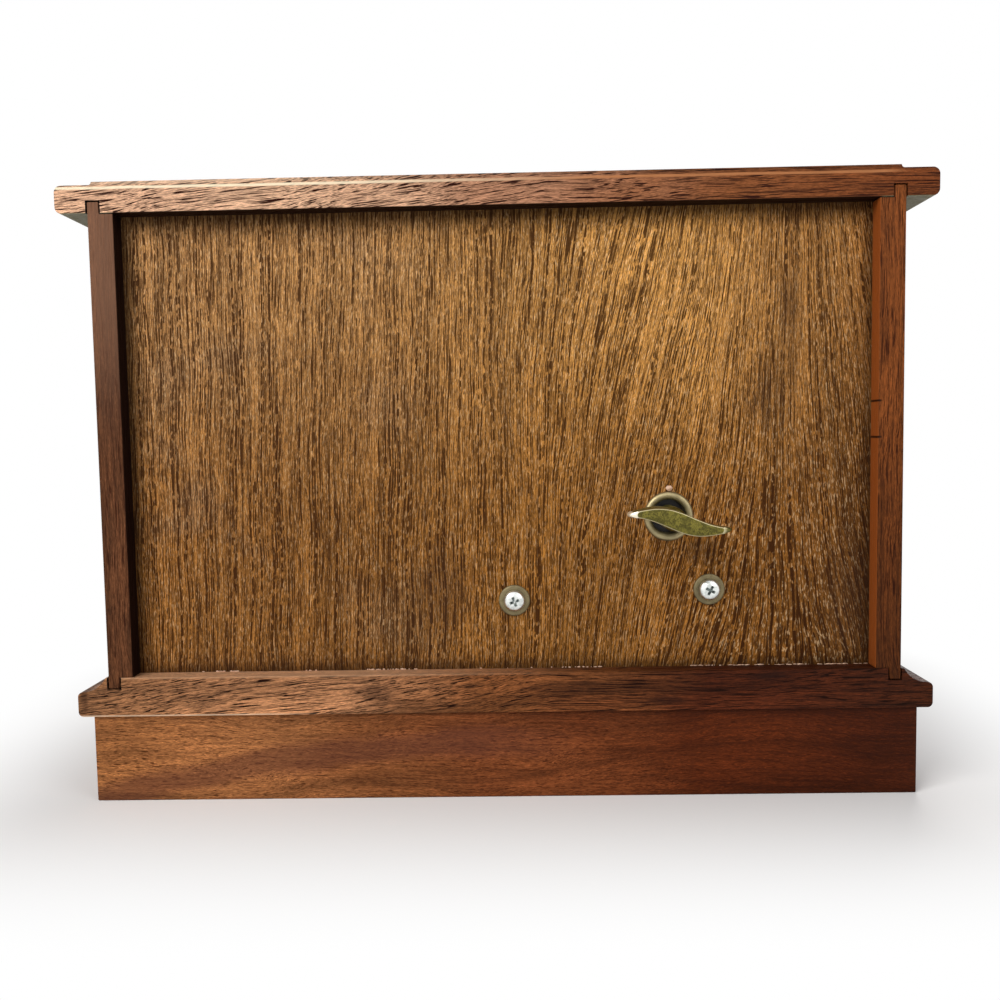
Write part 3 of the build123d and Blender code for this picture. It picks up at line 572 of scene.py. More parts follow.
def key_brass():
    """Darkened olive brass with rubbed bright rims and a painted highlight on the +X tip; the rims and the
    tip are marked on the mesh.
    """
    s = Shader("key_brass")
    cloud = s.noise(s.point, 0.8, 4.0, 0.65)
    speck = s.noise(s.point, 2.6, 4.0, 0.7)
    dark = s.mix(s.step(cloud, 0.38, 0.62), (84, 78, 30), (124, 115, 48))
    dark = s.over(dark, (60, 52, 22), s.step(speck, 0.5, 0.6), 0.8)
    # The marks on the mesh: rubbed rims, and the +X tip for its painted highlight. The rims' colour turns
    # near-white at that tip.
    edge = s.node("Attribute", {}, attribute_name="rub_and_highlight").outputs["Fac"]
    rubbed = s.step(s.plus(edge, s.line(speck, 0.3, -0.15)), 0.4, 0.65)
    bright = s.mix(s.step(s.split(s.point)[0], -32.0, -30.5), (186, 176, 138), (240, 232, 208))
    return s.close(s.mix(rubbed, dark, bright), s.line(speck, 0.2, 0.3), speck, 0.3, 0.03, Metallic=0.75)


def fabric(name, colour, sheen, roughness, pile, bump=0.8, crush=0.25):
    """Flock or velvet: short pile, brushed patches and the shader's own pale sheen."""
    s = Shader(name)
    hair = s.noise(s.point, pile * 6, 4.0, 0.7)
    patch = s.noise(s.point, 0.12, 4.0, 0.6)
    base = s.tint(srgb(*colour)[:3], s.step(patch, 0.3, 0.7), 1 - crush, 1 + crush)
    base = s.tint(base, hair, 0.6, 1.4)
    return s.close(
        base, roughness, hair, bump, 0.15, Sheen_Weight=1.0, Sheen_Roughness=0.4, Sheen_Tint=srgb(*sheen)
    )


def floor_white(value):
    """The studio floor: matt near the chest, and plain white to the camera further off."""
    s = Shader("floor_white")
    grain = s.noise(s.point, 0.02, 2.0)
    colour = s.mix(grain, (value, value, value, 1), (value * 0.985, value * 0.985, value * 0.99, 1))
    matt = s.node("BsdfDiffuse", {"Color": colour})
    white = s.node("Emission", {"Color": (1, 1, 1, 1), "Strength": 1.0})
    x, y, _ = s.split(s.point)
    half_width, half_depth, middle = 98.0, 58.0, 3.0
    beside = s.larger(s.minus(s.size(x), half_width), 0.0)
    behind = s.larger(s.minus(s.size(s.plus(y, middle)), half_depth), 0.0)
    far = s.root(s.plus(s.times(beside, beside), s.times(behind, behind)))
    path = s.node("LightPath", {})
    seen = s.larger(path.outputs["Is Camera Ray"], path.outputs["Is Glossy Ray"])
    share = s.times(seen, s.step(far, -8.0, 70.0))
    return s.ended(s.node("MixShader", {0: share, 1: matt.outputs[0], 2: white.outputs[0]}))


def studio_world():
    """White where the camera or a reflection sees it, and a soft fill elsewhere."""
    world = bpy.data.worlds.new("studio")
    world.use_nodes = True
    s = Nodes(world.node_tree)
    path = s.node("LightPath", {})
    seen = path.outputs["Is Camera Ray"]
    for name in ("Is Glossy Ray", "Is Transmission Ray"):
        seen = s.larger(seen, path.outputs[name])
    soft = s.node("Background", {"Color": (0.93, 0.96, 1.0, 1), "Strength": 0.16})
    white = s.node("Background", {"Color": (1, 1, 1, 1), "Strength": 1.0})
    both = s.node("MixShader", {0: seen, 1: soft.outputs[0], 2: white.outputs[0]})
    s.node("OutputWorld", {0: both.outputs[0]})
    return world


# Settings shown in the sidebar


class ChestLook(PropertyGroup):
    edge_ease: FloatProperty(
        name="Edge Ease", description="How far the boards' edges are rubbed round, in millimetres",
        default=0.28, min=0.05, max=1.0,
    )
    pore_darkness: FloatProperty(
        name="Pore Darkness", description="How dark the veneer's open pores are",
        default=0.9, min=0.0, max=1.0, subtype="FACTOR",
    )
    panel_roughness: FloatProperty(
        name="Panel Roughness", description="How matt the back panel is", default=0.40, min=0.1, max=1.0,
        subtype="FACTOR",
    )
    key_rest: FloatProperty(
        name="Key Rest Angle", description="How far the key is turned from level",
        default=math.radians(11.5), subtype="ANGLE", unit="ROTATION",
    )
    crumbs: IntProperty(
        name="Crumbs", description="Number of glue crumbs and splinters along the panel's foot", default=150,
        min=0, max=2000,
    )
    light_tone: FloatVectorProperty(
        name="Light Tone", description="Colour of the studio lamps", default=(1.0, 0.975, 0.95), size=3,
        subtype="COLOR", min=0.0, max=1.0,
    )
    light_level: FloatProperty(
        name="Light Level", description="Power of the main lamp", default=2.85, min=0.1, max=100.0,
    )


def look_of(context):
    return context.scene.chest_look


# The pieces


BARE_WOOD = {
    "pore": (140, 104, 66), "pore_cut": 0.34, "pores": (0.24, 2.6), "contrast": 0.1, "roughness": 0.6,
    "bump": 0.15,
}


class CHEST_OT_carcass(Operator):
    """Boards of the carcass, each in its own stained wood"""

    bl_idname = "chest.carcass"
    bl_label = "Carcass Boards"

    def execute(self, context):
        look = look_of(context)
        top = wood(
            "top_board_wood", "x",
            [(0.0, (196, 154, 124)), (0.3, (208, 166, 134)), (0.5, (166, 120, 92)), (0.72, (122, 72, 40)),
             (1.0, (110, 58, 27))],
            pore=(42, 14, 6), pore_cut=0.435, pore_depth=1.0, pores=(0.26, 10.0), slant=0.13, contrast=0.2,
            bump=0.6, seed=4.0, glint_strength=0.25, extra=top_marks,
        )
        base = wood(
            "base_board_wood", "x",
            [(0.0, (156, 108, 72)), (0.3, (174, 122, 84)), (0.5, (138, 84, 46)), (0.75, (78, 35, 16)),
             (1.0, (64, 29, 12))],
            pore=(26, 7, 1), pore_cut=0.425, pore_depth=1.0, pores=(0.22, 9.0), slant=0.12, contrast=0.4,
            bump=0.6, seed=9.0, glint_strength=0.3, extra=base_marks,
        )
        left, right = [
            wood(
                f"side_wood_{name}", "z", [(0.0, stain), (1.0, stain)], pore=pore, pore_cut=0.41,
                pores=(0.27, 7.0), contrast=0.4, glint_strength=0.35, roughness=roughness, bump=bump, seed=seed,
                extra=side_shade,
            )
            for name, stain, pore, roughness, bump, seed in (
                ("left", (106, 57, 24), (50, 18, 4), 0.42, 0.3, 14.0),
                ("right", (98, 60, 36), (58, 26, 10), 0.5, 0.35, 19.0),
            )
        ]
        plinth = wood(
            "plinth_wood", "x",
            [(0.0, (152, 98, 56)), (0.2, (154, 100, 59)), (0.35, (132, 80, 44)), (0.5, (120, 66, 34)),
             (0.75, (80, 34, 11)), (1.0, (64, 25, 7))],
            pore=(60, 24, 6), pore_cut=0.4, pore_depth=0.8, pores=(0.2, 2.4), figure=(6.0, 60.0),
            contrast=0.28, glint_strength=0.6, roughness=0.42, bump=0.2, sway=1.2, seed=24.0, extra=plinth_band,
        )
        ends = wood(
            "plinth_end_wood", "y", [(0.0, (136, 84, 48)), (1.0, (80, 36, 14))], pore=(60, 26, 10),
            pore_cut=0.385, pore_depth=0.75, pores=(0.2, 2.4), contrast=0.2, glint_strength=0.2, roughness=0.42,
            bump=0.2, seed=29.0,
        )
        plain = wood(
            "plain_wood", "x", [(0.0, (186, 150, 106)), (1.0, (180, 142, 98))], seed=34.0, extra=stained_lip,
            **BARE_WOOD,
        )
        for node, material in (
            ("top_board", top), ("base_board", base), ("side_left", left), ("side_right", right),
            ("plinth_back", plinth), ("plinth_front", plinth), ("plinth_left", ends), ("plinth_right", ends),
        ):
            eased_board(node, "carcass", material, look.edge_ease, "carcass_wood")
        paint(panel_veneer(look), "back_panel")
        paint(plain, "upper_shelf", "lower_shelf", "plinth_glue_blocks", "drawer_stops")
        return {"FINISHED"}


def joint_gap(s, x, reach, back):
    """1 in the open joint round the +X side's tongue, on a board's back edge."""
    beside = s.less(s.size(s.minus(x, JOINT_X)), JOINT_HALF)
    return s.times(s.times(beside, reach), back)


def top_marks(s, colour):
    """The top's pale back-edge line, wear with a painted highlight; its top face with a painted sheen; and
    its underside in painted shade over the panel, with painted bounce light on the overhangs.
    """
    x, y, z = s.split(s.point)
    back = s.step(y, *BACK_EDGE)
    # Pale line along the back's top arris: wear with a painted highlight, near-white towards +X.
    wander = s.cloud((0.12, 0.1, 0.1))
    line = s.size(s.line(wander, 0.3, s.minus(z, 145.25)))
    line = s.times(s.times(s.below(line, 0.18, 0.42), back), s.step(x, -96.0, -88.0))
    bright = s.mix(s.step(x, -30.0, 45.0), (184, 122, 78), (248, 232, 200))
    colour = s.over(colour, bright, line, 0.85)
    # The top face over the back edge: paler towards +X as a painted sheen, a fifth darker elsewhere.
    above = s.times(s.step(z, 145.5, 146.0), back)
    painted_top_sheen = s.mix(0.3, colour, (226, 200, 172))
    colour = s.mix(above, colour, s.mix(s.step(x, 10.0, 80.0), s.vector("SCALE", colour, 0.8), painted_top_sheen))
    # The underside: painted shade over the panel, and painted bounce light, pale greenish, on the overhangs
    # beyond the sides.
    inside = s.below(s.size(x), 88.0, 89.0)
    stain = s.mix(inside, (116, 112, 86), (34, 16, 7))
    colour = s.mix(s.below(z, 139.42, 139.6), colour, stain)
    return s.mix(joint_gap(s, x, s.less(z, 142.34), back), colour, SEAM_BLACK)


def stained_lip(s, colour):
    """The shelves' front edges are stained like the drawer fronts between them."""
    y = s.split(s.point)[1]
    lip = s.below(y, -50.5, -49.5)
    grain = s.cloud((0.1, 1.0, 3.0), 3.0, 0.6)
    stain = s.mix(s.step(grain, 0.35, 0.65), (84, 38, 20), (112, 54, 30))
    return s.mix(lip, colour, stain)


def base_marks(s, colour):
    """The base board's dark blotches, rubbed upper edge, painted highlight on the lower edge towards +X, and
    open joint.
    """
    x, y, z = s.split(s.point)
    ragged = s.cloud((0.3, 0.3, 0.9), 3.0)
    colour = spotted(s, colour, (34, 14, 8), ragged, (
        ((30.0, 26.0), (7.0, 2.6), 0.6), ((-64.0, 29.0), (6.0, 1.6), 0.7), ((-38.0, 23.5), (6.0, 1.4), 0.6),
        ((-20.0, 27.0), (14.0, 1.6), 0.35), ((100.0, 26.0), (1.2, 6.0), 0.55),
    ))
    worn = s.times(s.step(z, 29.8, 30.3), s.step(x, -25.0, 35.0))
    colour = s.over(colour, (214, 168, 130), worn, 0.45)
    # Painted highlight on the lower arris, towards +X.
    lower = s.times(s.falling(z, 21.45, 21.2), s.step(x, 42.0, 60.0))
    colour = s.over(colour, (226, 196, 166), lower, 0.7)
    gap = joint_gap(s, x, s.step(z, 27.3, 27.5), s.step(y, *BACK_EDGE))
    return s.mix(s.times(gap, s.step(ragged, 0.4, 0.5)), colour, SEAM_BLACK)


def side_shade(s, colour):
    """The sides are duller near the top and darker towards the base. Their inner faces are painted:
    near-black shade on the +X side and lit orange on the -X side.
    """
    x, y, z = s.split(s.point)
    left = s.step(x, -10.0, 10.0)
    grey = s.times(s.times(s.step(z, 80.0, 125.0), 0.6), left)
    colour = s.mix(grey, colour, (124, 90, 70))
    colour = s.mix(s.falling(z, 125.0, 32.0), colour, s.vector("SCALE", colour, 0.62))
    # Painted shade on the +X side's inner face and painted light on the -X side's inner face.
    inner = s.times(s.below(s.size(x), 88.02, 88.2), s.step(y, 50.0, 50.6))
    colour = s.mix(inner, colour, s.mix(left, (142, 74, 30), (22, 7, 4)))
    shoulder = s.times(s.step(z, 139.05, 139.25), s.less(s.size(x), 91.2))
    colour = s.mix(shoulder, colour, (12, 5, 3))
    for nick_height in (93.2, 84.8):
        colour = s.mix(near_spot(s, x, z, (-88.2, nick_height), (0.9, 0.35)), colour, (24, 8, 4))
    return colour


def plinth_band(s, colour):
    """A darker band that climbs across the plinth and levels off."""
    x, _, z = s.split(s.point)
    crown, fall, wander = 13.3, 0.0014, 5.0
    arch = s.line(s.times(x, x), fall, s.minus(z, crown))
    line = s.line(s.cloud((0.05, 0.05, 0.14), 3.0, 0.55), wander, s.minus(arch, wander / 2))
    near = s.times(s.below(s.size(line), 1.5, 5.0), s.step(x, -25.0, 10.0))
    return s.over(colour, (92, 52, 38), near, 0.62)


class CHEST_OT_drawers(Operator):
    """Drawer fronts, drawer boxes and flocked linings"""

    bl_idname = "chest.drawers"
    bl_label = "Drawers"

    def execute(self, context):
        look = look_of(context)
        pale = [(0.0, (184, 148, 104)), (1.0, (176, 138, 94))]
        box_wood = wood("drawer_box_wood", "y", pale, seed=41.0, **BARE_WOOD)
        cross_wood = wood("drawer_back_wood", "x", pale, seed=44.0, **BARE_WOOD)
        flock = fabric("flock_lining", (92, 16, 26), (150, 60, 66), 0.9, 0.8)
        for index, name in enumerate(DRAWERS):
            front = wood(
                f"{name}_front_wood", "x",
                [(0.0, (116, 60, 32)), (0.5, (128, 68, 36)), (1.0, (112, 58, 30))], pore=(50, 22, 8),
                pore_cut=0.4, figure=(6.0, 90.0), contrast=0.18, roughness=0.38, bump=0.3, sway=1.4,
                seed=50.0 + 7 * index,
            )
            drawer = f"{name}_drawer"
            eased_board(f"{drawer}_front", drawer, front, look.edge_ease, "drawer_front_wood", 3)
            paint(box_wood, f"{drawer}_side_left", f"{drawer}_side_right")
            paint(cross_wood, f"{drawer}_back", f"{drawer}_bottom")
            self.lining(name, flock)
        return {"FINISHED"}

    def lining(self, name, flock):
        """A flocked tray with soft corners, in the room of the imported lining."""
        wall, floor_thickness, corner = 0.8, 1.0, 1.2
        node = f"{name}_drawer_lining"
        low, high = box_mm(node)
        bm = block(low, high)
        top = max(bm.faces, key=lambda f: f.calc_center_median().z)
        bmesh.ops.inset_region(bm, faces=[top], thickness=wall, use_even_offset=True)
        made = bmesh.ops.extrude_face_region(bm, geom=[top])
        floor = [v for v in made["geom"] if isinstance(v, bmesh.types.BMVert)]
        bmesh.ops.delete(bm, geom=[top], context="FACES_ONLY")
        bmesh.ops.translate(bm, vec=(0, 0, low.z + floor_thickness - high.z), verts=floor)
        bmesh.ops.recalc_face_normals(bm, faces=bm.faces)
        inner = [e for e in bm.edges if len(e.link_faces) == 2 and e.calc_face_angle_signed(0) < -0.5]
        ease(bm, inner, corner, 4)
        finish_piece(f"{name}_lining_flock", bm, f"{name}_drawer", flock, (node,), "flock_lining", 50.0)


class CHEST_OT_knobs(Operator):
    """Turned brass knobs"""

    bl_idname = "chest.knobs"
    bl_label = "Drawer Knobs"

    def execute(self, context):
        brass = metal("knob_brass", (214, 176, 104), 0.2, (150, 112, 60), 0.25, (1.0, 1.0, 8.0), 0.1)
        profile = [
            (0, -5.5), (2.4, -5.5), (2.4, -0.02), (3.3, 0.0), (3.42, 0.28), (3.2, 0.62), (2.62, 0.85),
            (2.36, 1.3), (2.3, 2.2), (2.42, 3.3), (2.8, 4.5), (3.45, 5.9), (4.2, 7.3), (4.8, 8.45),
            (5.1, 9.2), (5.2, 9.6), (5.14, 9.95), (4.9, 10.22), (4.3, 10.62), (3.6, 10.98), (2.6, 11.28),
            (1.4, 11.45), (0, 11.5),
        ]
        length = profile[-1][1]
        for name in DRAWERS:
            node = f"{name}_drawer_knobs"
            parts = []
            for low, high in loose_parts(node):
                place = Matrix.Translation(((low.x + high.x) / 2, low.y + length, (low.z + high.z) / 2))
                parts.append(turned(profile, 56, place, Matrix.Rotation(math.pi / 2, 4, "X")))
            finish_piece(
                f"{name}_knobs_brass", joined(parts), f"{name}_drawer", brass, (node,), "knob_brass", 60.0
            )
        return {"FINISHED"}


class CHEST_OT_cushion(Operator):
    """Velvet ring rolls in the top drawer"""

    bl_idname = "chest.cushion"
    bl_label = "Ring Cushion"

    def execute(self, context):
        velvet = fabric("cushion_velvet", (104, 18, 30), (176, 84, 88), 0.8, 0.7, 0.6, 0.3)
        low, high = box_mm("ring_cushion")
        rolls, base, end_length, slack = 5, 4.0, 3.0, 0.12
        width, depth, tall = high - low
        radius = tall - base
        pitch = (depth - 2 * radius) / (rolls - 1)
        rng = random.Random(7)
        phases = [rng.uniform(0, 6.28) for _ in range(rolls)]

        def height(x, y):
            """The pad's top: round rolls that fall off at the ends, with slack puckers."""
            nearest = min(range(rolls), key=lambda k: abs(y - radius - k * pitch))
            off = (y - radius - nearest * pitch) / radius
            round_up = math.sqrt(max(0.0, 1 - off * off))
            end = min(x, width - x) / end_length
            end_up = math.sqrt(max(0.0, 1 - (1 - min(1.0, end)) ** 2))
            phase = phases[nearest]
            pucker = slack * math.sin(x * 0.9 + phase) * math.sin(x * 0.23 + off * 3 + phase)
            pad, roll = base * (0.35 + 0.65 * end_up), radius * round_up * (0.55 + 0.45 * end_up)
            return pad + roll + pucker * end_up

        bm = bmesh.new()
        bmesh.ops.create_grid(bm, x_segments=64, y_segments=150, size=0.5)
        for vert in bm.verts:
            x, y = (vert.co.x + 0.5) * width, (vert.co.y + 0.5) * depth
            vert.co = Vector((low.x + x, low.y + y, min(high.z, low.z + height(x, y))))
        edge = [e for e in bm.edges if e.is_boundary]
        made = bmesh.ops.extrude_edge_only(bm, edges=edge)
        for vert in [v for v in made["geom"] if isinstance(v, bmesh.types.BMVert)]:
            vert.co.z = low.z
        bmesh.ops.holes_fill(bm, edges=[e for e in bm.edges if e.is_boundary], sides=0)
        obj = finish_piece(
            "ring_cushion_velvet", bm, "top_drawer", velvet, ("ring_cushion",), "cushion_velvet", 75.0
        )
        return {"FINISHED"}


class CHEST_OT_key(Operator):
    """The S-curved winding key"""

    bl_idname = "chest.key"
    bl_label = "Winding Key"

    def execute(self, context):
        look = look_of(context)
        span, middle, tip, taper, sway = 11.65, 4.3, 1.0, 1.5, 0.8
        start, height, corner, stem = 7.2, 9.8, 1.8, 2.75
        draw, waist, pull = 6.4, 0.62, 0.85
        rim_round, tip_round, rub_depth, dull_wing, highlight_tip_length = 0.26, 0.6, 0.5, 0.62, 0.9
        outer = -PANEL_THICKNESS - start - height

        def reach_at(depth):
            """How far the wings reach at a depth below the key's outer end."""
            if depth < corner:
                return span - corner + math.sqrt(max(0.0, corner ** 2 - (corner - depth) ** 2))
            if depth < height - draw:
                return span
            t = (depth - height + draw) / draw
            bulge = 4 * (waist - (1 + stem / span) / 2) * t * (1 - t)
            return span * (1 + (stem / span - 1) * t + bulge * pull)

        def at(u, v):
            """A point of the blade: u round its outline, v from its outer end inwards."""
            depth = v * height
            reach = reach_at(depth)
            turn = 2 * math.pi * u
            x = reach * math.cos(turn)
            share = x / span
            half = (tip + (middle - tip) * max(0.0, math.cos(share * math.pi / 2)) ** taper) / 2
            end = min(1.0, (reach - abs(x)) / tip_round)
            half *= math.sqrt(max(0.0, 1 - (1 - end) ** 2))
            side = 1 if math.sin(turn) >= 0 else -1
            return Vector((x, sway * math.sin(math.pi * share) + side * half, outer + depth))

        blade = skin(112, 40, at)
        rims = {e for f in blade.faces if len(f.verts) > 12 for e in f.edges}
        ease(blade, list(rims), rim_round, 3)
        inner = -PANEL_THICKNESS - start
        shaft = turned(
            [(0, inner - 1.5), (stem - 0.5, inner - 1.5), (stem, inner - 0.9),
             (stem, -PANEL_THICKNESS + 0.2), (stem - 0.4, -PANEL_THICKNESS + 0.6),
             (0, -PANEL_THICKNESS + 0.6)], 48
        )
        bm = joined([blade, shaft])
        layer = bm.verts.layers.float.new("rub_and_highlight")
        for vert in bm.verts:
            depth = vert.co.z - outer
            on_face = depth < 0.004
            rim = 0.0 if on_face else max(0.3, math.exp(-depth / rub_depth))
            if vert.co.x < corner - span:
                rim *= dull_wing
            # The +X tip is marked in full, for its painted highlight.
            highlight_tip = 1.0 if vert.co.x > span - highlight_tip_length and not on_face else 0.0
            vert[layer] = max(rim, highlight_tip)
        place = BENCH @ Matrix.Rotation(look.key_rest, 4, "Z")
        finish_piece(
            "winding_key_brass", bm, "winding_train", key_brass(), ("winding_key",), "antique_brass", 50.0,
            place,
        )
        return {"FINISHED"}


class CHEST_OT_eyelet(Operator):
    """The rolled eyelet round the key's hole"""

    bl_idname = "chest.eyelet"
    bl_label = "Keyhole Eyelet"

    def execute(self, context):
        brass = metal("eyelet_brass", (160, 147, 112), 0.36, (120, 106, 74), 0.6, None, 0.2)
        low, high = box_mm("keyhole_eyelet")
        outer = (high.x - low.x) / 2
        face = PANEL_THICKNESS
        profile = [
            (4.05, 0.2), (4.05, face + 0.2), (4.12, face + 0.45), (4.34, face + 0.66), (4.66, face + 0.8),
            (5.05, face + 0.85), (5.42, face + 0.76), (5.7, face + 0.54), (outer - 0.05, face + 0.27),
            (outer, face), (4.45, face), (4.45, 0.2),
        ]
        bm = turned(profile, 72, Matrix.Rotation(math.pi, 4, "X"))
        finish_piece(
            "eyelet_brass_ring", bm, "carcass", brass, ("keyhole_eyelet",), "antique_brass", 40.0, BENCH
        )
        return {"FINISHED"}


class CHEST_OT_screws(Operator):
    """Pan-head cross-slot screws on their washers"""

    bl_idname = "chest.screws"
    bl_label = "Screws and Washers"

    def execute(self, context):
        washers = loose_parts("screw_washers")
        seats = [((low.x + high.x) / 2, (low.z + high.z) / 2) for low, high in washers]
        low, high = washers[0]
        outer, thickness = (high.x - low.x) / 2, high.y - low.y
        dull = metal("dull_washer", (124, 112, 84), 0.45, (84, 74, 52), 0.5, None, 0.2)
        head_profile = [
            (0, -6.7), (1.05, -6.7), (1.25, -6.4), (1.25, -0.01), (2.42, 0.0), (2.55, 0.14), (2.55, 0.5),
            (2.46, 0.86), (2.2, 1.22), (1.75, 1.5), (1.1, 1.66), (0.5, 1.7), (0, 1.7),
        ]
        washer_profile = [
            (1.6, 0.0), (1.6, 0.42), (1.7, thickness), (outer - 0.35, thickness), (outer - 0.12, 0.42),
            (outer, 0.22), (outer, 0.0),
        ]
        heads, rings = [], []
        for (x, z), turn in zip(seats, (62.0, 20.0)):
            face = Matrix.Translation((x, PANEL_FACE, z)) @ Matrix.Rotation(-math.pi / 2, 4, "X")
            rings.append(turned(washer_profile, 56, face))
            head = cross_cut(turned(head_profile, 48), head_profile[-1][1])
            lift = Matrix.Translation((0, 0, thickness))
            move(head, face, lift, Matrix.Rotation(math.radians(turn), 4, "Z"))
            heads.append(head)
        zinc = screw_zinc(seats, PANEL_FACE + thickness + 1.4)
        for name, parts, material, node, slot, angle in (
            ("movement_screws_zinc", heads, zinc, "movement_screws", "bright_screw", 35.0),
            ("washers_dull", rings, dull, "screw_washers", "dull_washer", 45.0),
        ):
            finish_piece(name, joined(parts), "carcass", material, (node,), slot, angle)
        return {"FINISHED"}


def screw_zinc(seats, level):
    """Bright zinc with painted grey shade in the cross recess, below the level of the head's crown, and
    painted shade at the head's foot.
    """
    s = Shader("bright_screw")
    x, y, z = s.split(s.point)
    fine = s.noise(s.point, 5.0, 3.0, 0.6)
    cloud = s.noise(s.point, 1.1, 3.0, 0.6)
    colour = s.mix(s.step(cloud, 0.4, 0.65), (238, 240, 236), (206, 210, 206))
    # Painted shade in the cross recess, patchy by the cloud.
    deep = s.below(y, level - 0.3, level)
    for centre in seats:
        recess_shade = s.times(near_spot(s, x, z, centre, (1.7, 1.7)), deep)
        colour = s.over(colour, (112, 120, 118), recess_shade, s.step(cloud, 0.3, 0.5))
    # Painted shade round the foot of the head, where it sits on the washer.
    foot = s.below(y, level - 1.35, level - 1.0)
    colour = s.over(colour, (84, 82, 72), foot, 0.7)
    return s.close(colour, s.line(fine, 0.2, 0.2), fine, 0.2, 0.02, Metallic=1.0)


def cross_cut(head, top):
    """Cuts a cross recess with sloping floors into a screw head that ends at height top."""
    arm, half_slot, deep, above = 1.5, 0.36, 1.15, 0.6
    floor_arm, floor_slot = 0.42, 0.7
    cutters = []
    for turn in (0, 90):
        bm = block((-arm, -half_slot, top - deep), (arm, half_slot, top + above))
        for vert in bm.verts:
            if vert.co.z < top:
                vert.co.x *= floor_arm
                vert.co.y *= floor_slot
        move(bm, Matrix.Rotation(math.radians(turn), 4, "Z"))
        cutters.append(bm)
    for bm in (head, *cutters):
        bmesh.ops.recalc_face_normals(bm, faces=bm.faces)
    whole, *tools = [add_mesh("head", bm) for bm in (head, *cutters)]
    for tool in tools:
        cut = whole.modifiers.new("cut", "BOOLEAN")
        cut.operation, cut.object, cut.solver = "DIFFERENCE", tool, "EXACT"
    bm = bmesh.new()
    bm.from_object(whole, bpy.context.evaluated_depsgraph_get())
    for obj in (whole, *tools):
        bpy.data.objects.remove(obj)
    return bm


def movement_steel(colour):
    """Movement steel, with painted near-black shade round the key's axis where it shows through the keyhole.
    """
    s = Shader("movement_steel")
    x, y, z = s.split(s.point)
    fine = s.noise(s.point, 5.0, 3.0, 0.6)
    cloud = s.noise(s.point, 0.5, 3.0, 0.6)
    base = s.mix(s.step(cloud, 0.3, 0.7), colour, tuple(c * 0.8 for c in colour))
    # Painted shade round the key's axis, seen through the keyhole: near-black and not metallic.
    keyhole_shade_reach = 9.0
    near = s.times(near_spot(s, x, z, (KEY_AXIS.x, KEY_AXIS.z), (keyhole_shade_reach, keyhole_shade_reach)), s.step(y, 33.0, 35.0))
    near = s.smaller(s.times(near, 2.0), 1.0)
    colour, gloss = s.mix(near, base, (20, 13, 15)), s.line(fine, 0.2, 0.3)
    return s.close(colour, gloss, fine, 0.15, 0.02, Metallic=s.flip(near))


class CHEST_OT_movement(Operator):
    """Finishes of the movement's hidden pieces"""

    bl_idname = "chest.movement"
    bl_label = "Movement"

    def execute(self, context):
        steel = movement_steel((186, 186, 182))
        comb = metal("comb_steel", (150, 153, 158), 0.24, (110, 110, 112), 0.3, (6.0, 0.6, 0.6))
        brass = metal("movement_brass", (206, 176, 112), 0.26, (160, 128, 74), 0.3)
        zinc = metal("comb_screw_zinc", (210, 212, 208), 0.24)
        paint(
            steel, "movement_bedplate", "spring_barrel", "governor_frame", "stop_lever_pin", "winding_arbor",
            "cylinder_spindle", "governor_fan", "stop_lever",
        )
        paint(comb, "tone_comb", "mainspring")
        paint(
            brass, "crown_wheel", "pinned_cylinder", "cylinder_pinion", "cylinder_drive_wheel",
            "governor_wheel",
        )
        paint(zinc, "comb_screws")
        return {"FINISHED"}


class CHEST_OT_crumbs(Operator):
    """Dried glue and splinters where the panel meets the ledge, and a chip over the eyelet"""

    bl_idname = "chest.crumbs"
    bl_label = "Glue Crumbs"

    def execute(self, context):
        look = look_of(context)
        s = Shader("dried_glue")
        speck = s.noise(s.point, 1.5, 3.0)
        colour = s.mix(speck, (196, 140, 104), (240, 214, 190))
        glue = s.close(colour, 0.55, speck, 0.3, 0.05)
        rng = random.Random(11)
        ledge = box_mm("base_board")[1].z
        stretches = (
            (69.4, 63.4, 1.5), (47.6, 45.8, 1.2), (32.6, 20.6, 1.6), (-15.3, -24.1, 1.4), (-43.7, -87.5, 6.0),
            (80.0, -40.0, 1.5),
        )
        shares = (2, 1, 5, 3, 10, 2)
        parts = []
        for _ in range(look.crumbs):
            low, high, longness = rng.choices(stretches, shares)[0]
            bm = bmesh.new()
            bmesh.ops.create_icosphere(bm, subdivisions=1, radius=1.0)
            size = rng.uniform(0.1, 0.26) / (1.0 if longness < 3 else 1.5)
            length = size * rng.uniform(1.0, longness)
            shape = Matrix.Diagonal((length, size * 0.8, size * rng.uniform(0.5, 1.0), 1))
            place = (rng.uniform(low, high), PANEL_FACE + 0.1, ledge + 0.06 + 0.1 * rng.random())
            tilt = rng.uniform(-0.5, 0.5) / longness
            move(bm, Matrix.Translation(place), Matrix.Rotation(tilt, 4, "Y"), shape)
            parts.append(bm)
        chip = bmesh.new()
        bmesh.ops.create_icosphere(chip, subdivisions=2, radius=0.55)
        for vert in chip.verts:
            vert.co *= 1 + rng.uniform(-0.16, 0.16)
        place = Matrix.Translation((KEY_AXIS.x - 0.2, PANEL_FACE + 0.2, KEY_AXIS.z + 6.75))
        move(chip, place, Matrix.Diagonal((1.45, 0.8, 1.15, 1)))
        finish_piece("glue_crumbs", joined([*parts, chip]), "carcass", glue)
        return {"FINISHED"}


